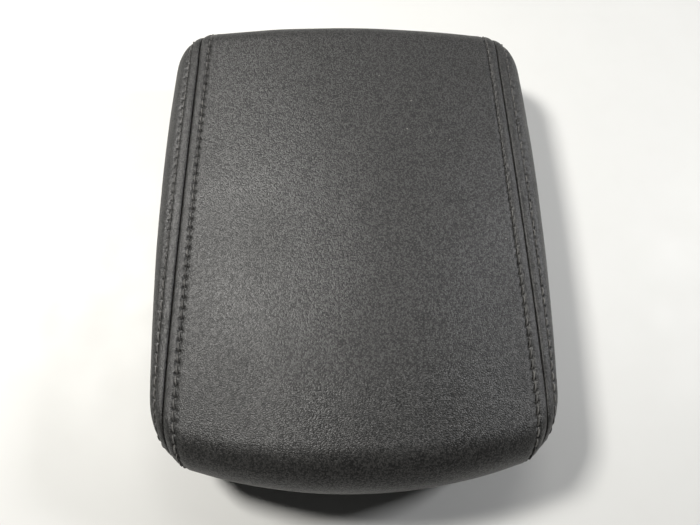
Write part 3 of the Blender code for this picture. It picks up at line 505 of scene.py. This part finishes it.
@dataclass(frozen=True)
class PaddedSkin:
    """Outer skin of the lid: a flat top whose edges round over shoulders into leaning walls."""

    half_width: float = 0.0996
    front_reach: float = 0.1170
    rear_reach: float = 0.1150
    nose_bulge: float = 0.0170
    rear_bulge: float = 0.0010
    side_taper: float = 0.0228
    side_bow: float = 0.0365
    bow_length: float = 0.1000
    corner_across: float = 0.0095
    corner_along: float = 0.0123
    bottom: float = 0.0150
    height: float = 0.0360
    crown: float = 0.0095
    side_shoulder: float = 0.0100
    front_shoulder: float = 0.0160
    rear_shoulder: float = 0.0155
    side_lean: float = radians(95)
    end_lean: float = radians(100)
    edge_radius: float = 0.0030
    hem_width: float = 0.0060
    seam_place: float = 0.125
    seam_drifts: tuple[float, float, float] = (0.0032, -0.0007, -0.0013)
    seam_hold: float = 0.0080

    @property
    def side_span(self) -> float:
        """Return the length of the skin from the end of the flat top to the side's lower edge."""
        return self.corner_across + self.side_shoulder * self.side_lean + self.height - 2 * self.side_shoulder

    @property
    def half_flat(self) -> float:
        """Return half the width of the flat top."""
        return self.half_width - self.side_shoulder - self.corner_across

    def from_seam(self, u: float) -> float:
        """Return the distance outward from the seam, along the skin, of a place across."""
        over = abs(u) - 1
        return over * (self.side_span if over > 0 else self.half_flat) - self.seam_place * self.side_span

    def across(self, distance: float) -> float:
        """Return the place across at a distance outward from the seam."""
        over = self.seam_place * self.side_span + distance
        return 1 + over / (self.side_span if over > 0 else self.half_flat)

    def drifted(self, u: float, v: float) -> float:
        """Return the place across, moved along with the seam where it runs further out or in.

        Args:
            u: place across, from 0 to 2.
            v: place along, from -2 to 2.

        Returns:
            The moved place across.
        """
        front, middle, rear = self.seam_drifts
        along = max(min(v, 1.0), -1.0)
        drift = middle + (rear - front) / 2 * along + ((front + rear) / 2 - middle) * along ** 2
        distance = self.from_seam(u)
        wall = (1 - self.seam_place) * self.side_span
        top = self.half_flat + self.seam_place * self.side_span
        hold = min(1.0, (wall - distance) / (wall - self.seam_hold),
                   (top + distance) / (top - self.seam_hold))
        return self.across(distance + drift * hold)

    def chart(self, u: float, v: float) -> tuple[float, float]:
        """Return the corner coordinates of a point of the square chart.

        Args:
            u: place across, from 0 to 2.
            v: place along, from 0 to 2.

        Returns:
            Two numbers from 0 to 1.
        """
        a, b = max(u - 1.0, 0.0), max(v - 1.0, 0.0)
        if b == 0.0:
            return a, 0.0
        if a <= self.seam_place:
            return a, b * sqrt(1 - a * a)
        end_angle = acos(self.seam_place)
        corner_angle = end_angle / 2
        share = (a - self.seam_place) / (1 - self.seam_place)
        far_angle = end_angle + share * (corner_angle - end_angle)
        seam_side = Vector((self.seam_place, b * sin(end_angle)))
        outer_side = Vector((cos(b * corner_angle), sin(b * corner_angle)))
        far_end = Vector((cos(far_angle), sin(far_angle)))
        seam_corner = Vector((cos(end_angle), sin(end_angle)))
        outer_corner = Vector((cos(corner_angle), sin(corner_angle)))
        spot = (1 - share) * seam_side + share * outer_side + (1 - b) * Vector((a, 0.0)) + b * far_end
        spot -= (1 - share) * (1 - b) * Vector((self.seam_place, 0.0)) + share * (1 - b) * Vector((1.0, 0.0))
        spot -= (1 - share) * b * seam_corner + share * b * outer_corner
        return spot.x, spot.y

    def profile(self, angle: float, front: bool, share: float, ring: float,
                depth: float) -> tuple[float, float]:
        """Return how far out and how high a point of the rounded edge lies.

        Args:
            angle: direction from the flat top, 0 across and a quarter turn along.
            front: whether it lies on the front half.
            share: place from the flat top, 0, to the lower edge, 1.
            ring: 0 on the wall, 1 at the end of the lower rounding and 2 at the hem's end.
            depth: how far it lies under the skin.

        Returns:
            The distances out and up.
        """
        across, along = cos(angle) ** 2, sin(angle) ** 2
        end_shoulder = self.front_shoulder if front else self.rear_shoulder
        reach = hypot(self.corner_across * cos(angle), self.corner_along * sin(angle))
        shoulder = self.side_shoulder * across + end_shoulder * along
        lean = self.side_lean * across + self.end_lean * along
        drop = self.height - shoulder * (1 - cos(lean)) - self.edge_radius * (1 + cos(lean))
        distance = share * (reach + shoulder * lean + drop / sin(lean))
        turn = min(max((distance - reach) / shoulder, 0.0), lean)
        down = max(distance - reach - shoulder * lean, 0.0)
        out = min(distance, reach) + shoulder * sin(turn) + down * cos(lean)
        high = self.height - shoulder * (1 - cos(turn)) - down * sin(lean)
        if ring > 0.0:
            centre_out = out - self.edge_radius * sin(lean)
            centre_high = high - self.edge_radius * cos(lean)
            turn = lean + min(ring, 1.0) * (pi - lean)
            out = centre_out + self.edge_radius * sin(turn) - max(ring - 1.0, 0.0) * self.hem_width
            high = centre_high + self.edge_radius * cos(turn)
        return out - depth * sin(turn), high - depth * cos(turn)

    def point(self, u: float, v: float, ring: float = 0.0, depth: float = 0.0) -> Vector:
        """Return the place of a chart point.

        Args:
            u: place across, from -2 to 2, flat between -1 and 1.
            v: place along, from -2 at the front to 2 at the rear.
            ring: place on the lower rounding and hem, from 0 to 2.
            depth: how far it lies under the skin.

        Returns:
            The point, in metres.
        """
        front = v < 0.0
        end_shoulder = self.front_shoulder if front else self.rear_shoulder
        end_reach = self.front_reach if front else self.rear_reach
        across = self.drifted(abs(u), v)
        p, q = self.chart(across, abs(v))
        angle, away = atan2(q, p), hypot(p, q)
        out, high = self.profile(angle, front, away, ring, depth)
        out = out if away > 0.0 else 0.0
        x = min(across, 1.0) * self.half_flat
        y = min(abs(v), 1.0) * (end_reach - end_shoulder - self.corner_along)
        return self.bent(copysign(x + out * cos(angle), u),
                         copysign(y + out * sin(angle), v), high)

    def bent(self, x: float, y: float, high: float) -> Vector:
        """Bow the sides, bulge the ends and crown the top.

        Args:
            x: place across.
            y: place along, before the shape is centred.
            high: height above the lower edge.

        Returns:
            The bent point.
        """
        spread = 1 - min((x / self.half_width) ** 2, 1.0)
        end_reach = self.front_reach if y < 0 else self.rear_reach
        bulge = -self.nose_bulge if y < 0 else self.rear_bulge
        centred = (self.front_reach + self.nose_bulge - self.rear_reach - self.rear_bulge) / 2
        units = y / self.bow_length
        return Vector((x * (1 + self.side_taper * units - self.side_bow * units ** 2),
                       y + bulge * spread * (y / end_reach) ** 2 + centred,
                       self.bottom + high * (1 + self.crown * spread / self.height)))


SKIN = PaddedSkin()


@dataclass
class Run:
    """A line along the lid at one place across, with its running length over the skin."""

    u: float
    end: float = 2.0
    steps: int = 2000
    places: list[float] = field(init=False)
    lengths: list[float] = field(init=False)

    def __post_init__(self) -> None:
        """Add up the short lengths of the line."""
        self.places = [-self.end + 2 * self.end * step / self.steps for step in range(self.steps + 1)]
        spots = [SKIN.point(self.u, v) for v in self.places]
        self.lengths = [0.0]
        for start, stop in zip(spots, spots[1:]):
            self.lengths.append(self.lengths[-1] + (stop - start).length)

    def length_at(self, v: float) -> float:
        """Return the length along the line at a place.

        Args:
            v: place along the chart.

        Returns:
            The length, in metres.
        """
        step = (v + self.end) / (2 * self.end) * (len(self.places) - 1)
        low = min(max(floor(step), 0), len(self.places) - 2)
        return self.lengths[low] + (step - low) * (self.lengths[low + 1] - self.lengths[low])

    def place_at(self, length: float) -> float:
        """Return the place at a length along the line.

        Args:
            length: the length, in metres.

        Returns:
            The place along the chart.
        """
        low = max(index for index, value in enumerate(self.lengths[:-1]) if value <= max(length, 0.0))
        share = (length - self.lengths[low]) / (self.lengths[low + 1] - self.lengths[low])
        return self.places[low] + share * (self.places[low + 1] - self.places[low])


@dataclass(kw_only=True)
class StitchRow(Run):
    """One row of decorative stitches, of which a whole number fits its length."""

    name: str
    side: int
    offset: float
    pitch: float = 0.0050
    end: float = 1.965
    steps: int = 600

    def __post_init__(self) -> None:
        """Measure the row, and fit the stitches to it."""
        super().__post_init__()
        self.pitch = self.lengths[-1] / self.count

    @property
    def count(self) -> int:
        """Return the number of stitches."""
        return round(self.lengths[-1] / self.pitch)


@dataclass
class Seams:
    """The two seams: rolled cover edges, with a row of stitches pulled in on either side.

    Each of the puffs beside a seam has a place and a width, as shares of the rows' offset, and a strength.
    """

    gap: float = 0.0006
    fold: float = 0.00001
    roll: float = 0.0018
    sink: float = 0.0007
    cleft: float = 2.2
    row_offset: float = 0.0046
    channel_depth: float = 0.00028
    channel_width: float = 0.0012
    hole_depth: float = 0.00110
    hole_radius: float = 0.00085
    puff: float = 0.00022
    puffs: tuple[tuple[float, float, float], ...] = ((0.62, 0.25, 1.0), (1.6, 0.35, 0.6))
    rows: list[StitchRow] = field(default_factory=list)

    def __post_init__(self) -> None:
        """Lay out the four rows."""
        for side, side_name in ((-1, "left"), (1, "right")):
            for sign, row_name in ((-1, "inner"), (1, "outer")):
                offset = sign * self.row_offset
                self.rows.append(StitchRow(u=side * SKIN.across(offset), side=side, offset=offset,
                                           name=f"{side_name}_{row_name}_stitching"))

    def depth(self, u: float, v: float) -> float:
        """Return how far the skin is pulled in at a place of the chart.

        Args:
            u: place across.
            v: place along.

        Returns:
            The depth in metres, less than zero where the skin is puffed up.
        """
        away = SKIN.from_seam(u)
        near = max(abs(away) - self.gap / 2, 0.0)
        rolled = max(1 - near / self.roll, 0.0)
        total = self.sink * (1 - sqrt(max(1 - rolled ** 2, 0.0)))
        total += self.cleft * max(self.gap / 2 - abs(away), 0.0)
        for place, width, strength in self.puffs:
            off = (near - place * self.row_offset) / (width * self.row_offset)
            total -= strength * self.puff * exp(-off ** 2)
        total += self.channel_depth * exp(-((near - self.row_offset) / self.channel_width) ** 2)
        if abs(near - self.row_offset) < 3 * self.hole_radius and u != 0.0:
            for row in self.rows:
                if row.side * u > 0 and row.offset * away > 0 and abs(v) <= row.end:
                    along = row.length_at(v) / row.pitch
                    off = (along - round(along)) * row.pitch
                    spread = (off ** 2 + (near - self.row_offset) ** 2) / self.hole_radius ** 2
                    total += self.hole_depth * exp(-spread)
        return total


@dataclass
class PaddedCovers:
    """The three sewn cover panels: the wide centre and the two sides.

    The steps are the spacing of the mesh across, from the seam outward.
    """

    seams: Seams
    thickness: float = 0.0013
    fine: float = 0.00042
    row_step: float = 0.00072
    cleft_step: float = 0.00010
    roll_step: float = 0.00022
    rolled: tuple[float, float] = (0.0009, 0.0024)
    puff_step: float = 0.00060
    channel_half: float = 0.0015
    flat_steps: tuple[tuple[float, float], ...] = ((0.012, 0.0012), (0.084, 0.0052))
    wall_step: float = 0.0013
    middle_gap: float = 0.02
    lump: float = 0.00018
    lump_size: float = 0.028
    calm_end: float = 0.1
    rings: tuple[float, ...] = (0.2, 0.4, 0.6, 0.8, 1.0, 1.4, 2.0)

    def columns(self, steps: list[tuple[float, float]], start: float) -> list[float]:
        """Return chart places across the lid, from distances along the skin.

        Args:
            steps: pairs of the distance to reach and the spacing up to it, in metres from the seam.
            start: the first distance.

        Returns:
            The places.
        """
        found = [start]
        for reach, spacing in steps:
            count = max(1, round((reach - found[-1]) / spacing))
            first = found[-1]
            found += [first + (reach - first) * step / count for step in range(1, count + 1)]
        return found

    def rows_along(self) -> list[float]:
        """Space the mesh evenly along the lid.

        Returns:
            The chart places.
        """
        run = Run(1.0)
        count = round(run.lengths[-1] / self.row_step)
        places = [run.place_at(run.lengths[-1] * number / count) for number in range(count + 1)]
        return [min(max(place, -2.0), 2.0) for place in places]

    def outer_place(self, u: float, v: float, ring: float) -> Vector:
        """Return the place of a point of the cover's outer face.

        Args:
            u: place across.
            v: place along.
            ring: place on the lower rounding and hem.

        Returns:
            The point, in metres.
        """
        flat = SKIN.point(u, v, ring)
        share = 1 - min(max(abs(v) - 2 + self.calm_end, 0.0) / self.calm_end + ring, 1.0)
        lump = share * self.lump * noise.noise(flat / self.lump_size)
        return SKIN.point(u, v, ring, self.seams.depth(u, v) + lump)

    def panel(self, columns: list[float], rows: list[float]) -> BMesh:
        """Return one cover panel: a grid laid over the skin, hemmed under and given its thickness.

        Args:
            columns: chart places across.
            rows: chart places along.

        Returns:
            The closed panel.
        """
        shape = bmesh.new()
        bmesh.ops.create_grid(shape, x_segments=len(columns) - 1, y_segments=len(rows) - 1, size=1.0)
        across, along = shape.verts.layers.float.new("across"), shape.verts.layers.float.new("along")
        for vert in shape.verts:
            vert[across] = columns[round((vert.co.x + 1) / 2 * (len(columns) - 1))]
            vert[along] = rows[round((vert.co.y + 1) / 2 * (len(rows) - 1))]
            vert.co = self.outer_place(vert[across], vert[along], 0.0)
        edge = [item for item in shape.edges if item.is_boundary
                and (all(abs(vert[across]) == 2.0 for vert in item.verts)
                     or all(abs(vert[along]) == 2.0 for vert in item.verts))]
        for ring in self.rings:
            verts, edge = grown(shape, edge)
            for vert in verts:
                vert.co = self.outer_place(vert[across], vert[along], ring)
        bmesh.ops.recalc_face_normals(shape, faces=shape.faces)
        middle = max(shape.faces, key=lambda face: face.calc_center_median().z)
        if middle.normal.z < 0:
            bmesh.ops.reverse_faces(shape, faces=shape.faces)
        bmesh.ops.solidify(shape, geom=shape.faces, thickness=self.thickness)
        return shape

    def build(self) -> None:
        """Make the three panels."""
        cover = COVER.material()
        rows = self.rows_along()
        offset = self.seams.row_offset
        edge = [(self.seams.gap / 2, self.cleft_step), (self.rolled[0], self.roll_step),
                (self.rolled[1], self.fine), (offset - self.channel_half, self.puff_step),
                (offset + self.channel_half, self.fine)]
        inner = self.columns([*edge, *self.flat_steps], self.seams.fold)
        inner = sorted(SKIN.across(-distance) for distance in inner)
        inner = [u for u in inner if u > self.middle_gap]
        centre = [-u for u in reversed(inner)] + [0.0] + inner
        wall = SKIN.side_span * (1 - SKIN.seam_place)
        outer = self.columns([*edge, (wall, self.wall_step)], self.seams.fold)
        outer = [min(SKIN.across(distance), 2.0) for distance in outer]
        outer[-1] = 2.0
        for name, columns, slack in (("centre_cover", centre, 0.85), ("right_side_cover", outer, 0.9),
                                     ("left_side_cover", [-u for u in reversed(outer)], 0.9)):
            piece = add_piece(name, "upholstery", self.panel(columns, rows), Body.LID, cover,
                              smooth=70.0)


@dataclass
class Stitching:
    """The visible thread: one short arched length for each stitch, sunk into its holes at both ends."""

    seams: Seams
    radius: float = 0.00036
    lift: float = 0.00012
    sunk: float = 0.00060
    slant: float = 0.00025
    margin: float = 0.13
    squareness: float = 3.2
    sides: int = 8
    steps: int = 9

    def stitch(self, shape: BMesh, row: StitchRow, number: int) -> None:
        """Add one stitch to a row's mesh.

        Args:
            shape: the row's mesh.
            row: the row.
            number: which stitch it is, from 0.
        """
        spots = []
        for step in range(self.steps + 1):
            share = step / self.steps
            v = row.place_at((number + self.margin + (1 - 2 * self.margin) * share) * row.pitch)
            arch = 1 - abs(2 * share - 1) ** self.squareness
            aside = self.slant * (2 * share - 1) / SKIN.side_span
            depth = self.seams.channel_depth + self.sunk - arch * (self.sunk + self.radius + self.lift)
            spots.append(SKIN.point(row.u + aside * row.side, v, 0.0, depth))
        ring = None
        for step, spot in enumerate(spots):
            ahead = spots[min(step + 1, self.steps)] - spots[max(step - 1, 0)]
            turn = ahead.to_track_quat("Z", "X").to_matrix().to_4x4()
            if ring is None:
                ring = bmesh.ops.create_circle(shape, cap_ends=True, segments=self.sides,
                                               radius=self.radius)["verts"]
                bmesh.ops.transform(shape, matrix=Matrix.Translation(spot) @ turn, verts=ring)
                edges = list(ring[0].link_faces[0].edges)
            else:
                ring, edges = grown(shape, edges)
                move = Matrix.Translation(spot) @ turn @ last_turn.inverted() @ Matrix.Translation(-last_spot)
                bmesh.ops.transform(shape, matrix=move, verts=ring)
            last_turn, last_spot = turn, spot
        bmesh.ops.contextual_create(shape, geom=edges)

    def build(self) -> None:
        """Make the four rows."""
        thread = THREAD.material()
        for row in self.seams.rows:
            shape = bmesh.new()
            for number in range(row.count):
                self.stitch(shape, row, number)
            bmesh.ops.recalc_face_normals(shape, faces=shape.faces)
            add_piece(row.name, "thread", shape, Body.LID, thread, smooth=60.0)


@dataclass
class PaddedCore:
    """The foam pad and the moulded carrier inside the covers."""

    nodes: dict[str, Object]
    pad_edge: float = 0.0006

    def build(self) -> None:
        """Round the foam pad, and dress the carrier."""
        pad = softened(self.nodes["foam_pad"], self.pad_edge, angle=50.0)
        piece = add_piece("foam_pad", "moulding", pad, Body.LID, FOAM.material(), smooth=60.0)
        dress(self.nodes["lid_carrier"], CARRIER.material())


def dress(node: Object, material: Material) -> None:
    """Give a carried-over CAD node its finish.

    Args:
        node: the node.
        material: the finish.
    """
    node.data.materials.clear()
    node.data.materials.append(material)
    LOG.info("%s: dressed in %s", node.name, material.name)


@dataclass
class InnerPanel:
    """The moulded panel under the lid, with the plug that hangs in the console and the rubber stops."""

    nodes: dict[str, Object]
    edge: float = 0.0005
    stop_edge: float = 0.0006
    field_inset: float = 0.0080
    field_step: float = 0.0012
    field_depth: float = 0.0007

    def build(self) -> None:
        """Round the panel's edges, sink the field of its plug and soften the stops."""
        panel = softened(self.nodes["inner_panel"], self.edge)
        bottom = min(panel.faces,
                     key=lambda face: (round(face.calc_center_median().z, 5), -face.calc_area()))
        bmesh.ops.inset_region(panel, faces=[bottom], thickness=self.field_inset, use_even_offset=True)
        bmesh.ops.inset_region(panel, faces=[bottom], thickness=self.field_step, depth=-self.field_depth,
                               use_even_offset=True)
        add_piece("inner_panel", "moulding", panel, Body.LID, PANEL.material(), smooth=20.0)
        rubber = STOP.material()
        for number in range(1, 5):
            name = f"rubber_stop_{number}"
            stop = softened(self.nodes[name], self.stop_edge, 3, 30.0)
            add_piece(name, "pad", stop, Body.LID, rubber, smooth=50.0)


@dataclass
class CrossHeadScrew:
    """A pan head thread-forming screw with a cross recess, head down.

    The head's profile is in shares of its radius and height. Each screw is turned further than the last.
    """

    shank_radius: float = 0.0015
    head_radius: float = 0.0034
    head_height: float = 0.0020
    length: float = 0.0117
    recess_reach: float = 0.0019
    recess_width: float = 0.0008
    recess_depth: float = 0.0013
    recess_foot: float = 0.75
    head_profile: tuple[tuple[float, float], ...] = (
        (0.0, 1.0), (0.55, 1.0), (0.80, 0.88), (0.95, 0.62), (1.0, 0.30), (1.0, 0.0))
    threads: int = 7
    thread_start: float = 0.0008
    thread_core: float = 0.78
    tip: float = 0.003
    turn: float = 37.0

    def shape(self) -> BMesh:
        """Turn the screw, with its head's seat at height zero.

        Returns:
            The closed screw.
        """
        made = bmesh.new()
        profile = [(out * self.head_radius, -high * self.head_height) for out, high in self.head_profile]
        profile.append((self.shank_radius, 0.0))
        core = self.thread_core * self.shank_radius
        step = (self.length - self.tip - self.thread_start) / self.threads
        for number in range(self.threads):
            base = self.thread_start + number * step
            profile += [(core, base), (self.shank_radius, base + 0.5 * step)]
        profile += [(core, self.length - self.tip), (0.0, self.length)]
        verts = [made.verts.new((radius, 0.0, high)) for radius, high in profile]
        edges = [made.edges.new(pair) for pair in zip(verts, verts[1:])]
        bmesh.ops.spin(made, geom=verts + edges, axis=(0, 0, 1), cent=(0, 0, 0), angle=2 * pi, steps=24,
                       use_merge=True)
        bmesh.ops.remove_doubles(made, verts=made.verts, dist=1e-7)
        bmesh.ops.recalc_face_normals(made, faces=made.faces)
        return made

    def recess(self) -> BMesh:
        """Make the cross that is cut into the head, a little narrower at its foot.

        Returns:
            The closed cross.
        """
        cross = bmesh.new()
        wide, reach = self.recess_width / 2, self.recess_reach
        corner = [(reach, -wide), (reach, wide), (wide, wide)]
        outline = [Matrix.Rotation(radians(90 * quarter), 2) @ Vector(place)
                   for quarter in range(4) for place in corner]
        rings = [[cross.verts.new((share * place.x, share * place.y, high - self.head_height))
                  for place in outline]
                 for share, high in ((1.0, -self.recess_depth), (self.recess_foot, self.recess_depth))]
        cross.faces.new(rings[0][::-1])
        cross.faces.new(rings[1])
        for index in range(len(outline)):
            after = (index + 1) % len(outline)
            cross.faces.new((rings[0][index], rings[0][after], rings[1][after], rings[1][index]))
        bmesh.ops.triangulate(cross, faces=cross.faces)
        bmesh.ops.recalc_face_normals(cross, faces=cross.faces)
        return cross

    def build(self) -> None:
        """Put a screw in the place of each of the twelve CAD screws."""
        steel = SCREW.material()
        screw = subtracted(self.shape(), self.recess())
        names = [f"panel_screw_{number}" for number in range(1, 9)]
        names += [f"hinge_plate_screw_{number}" for number in range(1, 5)]
        for index, name in enumerate(names):
            low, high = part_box(name)
            made = bmesh.new()
            made.from_mesh(screw)
            turn = Matrix.Rotation(radians(self.turn * index), 4, "Z")
            middle = Vector(((low.x + high.x) / 2, (low.y + high.y) / 2, low.z + self.head_height))
            bmesh.ops.transform(made, matrix=Matrix.Translation(middle) @ turn, verts=made.verts)
            add_piece(name, "cross_head", made, Body.LID, steel, smooth=30.0)


def subtracted(base: BMesh, tool: BMesh) -> Mesh:
    """Return a mesh with another cut away, by an exact Boolean.

    Args:
        base: the shape that is cut, which is freed.
        tool: the shape that is cut away, which is freed.

    Returns:
        The cut mesh.
    """
    things = []
    for shape in (base, tool):
        mesh = bpy.data.meshes.new("cutting")
        shape.to_mesh(mesh)
        shape.free()
        thing = bpy.data.objects.new("cutting", mesh)
        bpy.context.scene.collection.objects.link(thing)
        things.append(thing)
    modifier = things[0].modifiers.new("cut", "BOOLEAN")
    modifier.operation = "DIFFERENCE"
    modifier.solver = "EXACT"
    modifier.object = things[1]
    result = bpy.data.meshes.new_from_object(things[0].evaluated_get(bpy.context.evaluated_depsgraph_get()))
    for thing in things:
        bpy.data.objects.remove(thing, do_unlink=True)
    if not result.polygons:
        raise ValueError("the cut left nothing")
    return result


@dataclass
class Latch:
    """The latch lever at the front, with its pin and spring."""

    nodes: dict[str, Object]
    edge: float = 0.0005
    pin_edge: float = 0.0003

    def build(self, steel: Material) -> None:
        """Round the lever and the pin, and dress the spring.

        Args:
            steel: the finish of pin and spring.
        """
        lever = softened(self.nodes["latch_lever"], self.edge, 3)
        add_piece("latch_lever", "moulding", lever, Body.LATCH, LEVER.material())
        pin = softened(self.nodes["latch_pin"], self.pin_edge)
        add_piece("latch_pin", "rod", pin, Body.LID, steel, smooth=40.0)
        dress(self.nodes["latch_spring"], steel)


@dataclass
class Hinge:
    """The lid's hinge plate, its bushings and pin, and the bracket on the console."""

    nodes: dict[str, Object]
    edge: float = 0.0003
    pin_edge: float = 0.00025
    small_edge: float = 0.00015

    def build(self, steel: Material) -> None:
        """Round the edges of each piece and give it its finish.

        Args:
            steel: the pin's and clip's finish.
        """
        zinc, nylon, paint = ZINC.material(), NYLON.material(), PAINT.material()
        for name, body, slot, material, width in (
                ("lid_hinge_plate", Body.LID, "zinc_steel", zinc, self.edge),
                ("hinge_bushing_left", Body.LID, "bushing_nylon", nylon, self.small_edge),
                ("hinge_bushing_right", Body.LID, "bushing_nylon", nylon, self.small_edge),
                ("hinge_pin", Body.CONSOLE, "pin_steel", steel, self.pin_edge),
                ("hinge_pin_clip", Body.CONSOLE, "pin_steel", steel, self.small_edge),
                ("console_bracket", Body.CONSOLE, "bracket_paint", paint, self.edge)):
            add_piece(name, "detail", softened(self.nodes[name], width), body, material)


# The stage

@dataclass(frozen=True)
class SoftBox:
    """A square studio lamp that points at the armrest."""

    name: str
    place: tuple[float, float, float]
    size: float
    power: float
    colour: str

    def build(self) -> None:
        """Add the lamp to the scene."""
        lamp = bpy.data.lights.new(self.name, "AREA")
        lamp.shape = "SQUARE"
        lamp.size = self.size
        lamp.energy = self.power
        lamp.color = linear(self.colour)[:3]
        thing = bpy.data.objects.new(self.name, lamp)
        thing.location = self.place
        thing.rotation_euler = (-Vector(self.place)).to_track_quat("-Z", "Y").to_euler()
        bpy.context.scene.collection.objects.link(thing)


@dataclass(frozen=True)
class Studio:
    """Camera, lamps, world and the pale table top.

    Light and wall have a level for the front and one for the rear. Higher up the wall's fades to the ceiling's.
    """

    camera_mm: tuple[float, float, float] = (-11.236, -106.239, 292.891)
    camera_turn: tuple[float, float, float] = (19.5885, -1.8031, -1.0244)
    lens: float = 27.05
    table_half: float = 1.0
    room_span: tuple[float, float] = (-0.6, 0.5)
    light: tuple[float, float] = (0.02, 0.05)
    wall: tuple[float, float] = (0.22, 0.75)
    ceiling_span: tuple[float, float] = (0.30, 0.75)
    ceiling: float = 0.05
    lamps: tuple[SoftBox, ...] = (
        SoftBox("key_lamp", (-0.379, 0.153, 0.629), 0.13, 6.2, "#fffdf9"),
        SoftBox("right_lamp", (0.740, 0.157, 0.550), 0.13, 4.1, "#fbfcff"),
        SoftBox("rear_lamp", (0.100, 0.450, 0.780), 0.35, 1.7, "#fffefc"),
    )

    def build(self) -> None:
        """Set up the stage."""
        scene = bpy.context.scene
        camera = bpy.data.cameras.new("camera")
        camera.sensor_width = 36.0
        camera.lens = self.lens
        camera.clip_start = 0.01
        holder = bpy.data.objects.new("camera", camera)
        holder.location = Vector(self.camera_mm) * MM
        holder.rotation_euler = Euler([radians(angle) for angle in self.camera_turn])
        scene.collection.objects.link(holder)
        scene.camera = holder
        scene.view_settings.view_transform = "Standard"
        for lamp in self.lamps:
            lamp.build()
        self.world(scene)
        self.table(scene)

    def world(self, scene: Scene) -> None:
        """Light the stage softly, less from the front, and show a pale room behind it and in what shines.

        Args:
            scene: the scene that takes the world.
        """
        world = bpy.data.worlds.new("soft_room")
        world.use_nodes = True
        tree = world.node_tree
        background = tree.nodes["Background"]
        direction = add_node(tree, "TexCoord").outputs["Generated"]
        axes = add_node(tree, "SeparateXYZ", {}, {0: direction}).outputs
        level, pale = (add_node(tree, "MapRange", ramp(*levels, *self.room_span), {"Value": axes["Y"]},
                                interpolation_type="SMOOTHSTEP") for levels in (self.light, self.wall))
        pale = add_node(tree, "MapRange", ramp(0.0, self.ceiling, *self.ceiling_span),
                        {"Value": axes["Z"], "To Min": pale}, interpolation_type="SMOOTHSTEP")
        background.inputs["Color"].default_value = linear("#fbfbfa")
        paths = add_node(tree, "LightPath").outputs
        seen = add_node(tree, "Math", {}, {0: paths["Is Camera Ray"], 1: paths["Is Glossy Ray"]},
                        operation="MAXIMUM")
        seen = add_node(tree, "Math", {}, {0: seen, 1: paths["Is Transmission Ray"]}, operation="MAXIMUM")
        feed(tree, background, {"Strength": add_node(tree, "Mix", {}, {0: seen, 2: level, 3: pale})})
        scene.world = world

    def table(self, scene: Scene) -> None:
        """Lay the pale table top under the armrest.

        Args:
            scene: the scene that takes it.
        """
        shape = bmesh.new()
        bmesh.ops.create_grid(shape, x_segments=1, y_segments=1, size=self.table_half)
        mesh = bpy.data.meshes.new("table_top")
        shape.to_mesh(mesh)
        shape.free()
        mesh.materials.append(MouldedPlastic("pale_laminate", "#dbdbd8", 0.55, grain_mm=2.0, depth_mm=0.01,
                                             cloud_colour="#d4d3cf").material())
        table = bpy.data.objects.new("table_top", mesh)
        scene.collection.objects.link(table)


def main() -> None:
    """Build every sub-assembly, dress it and set the stage."""
    logging.basicConfig(level=logging.INFO, format="%(name)s: %(message)s")
    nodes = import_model()["nodes"]
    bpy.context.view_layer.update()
    seams = Seams()
    PaddedCovers(seams).build()
    Stitching(seams).build()
    PaddedCore(nodes).build()
    InnerPanel(nodes).build()
    CrossHeadScrew().build()
    bright = BRIGHT.material()
    Latch(nodes).build(bright)
    Hinge(nodes).build(bright)
    Studio().build()


if __name__ == "__main__":
    main()
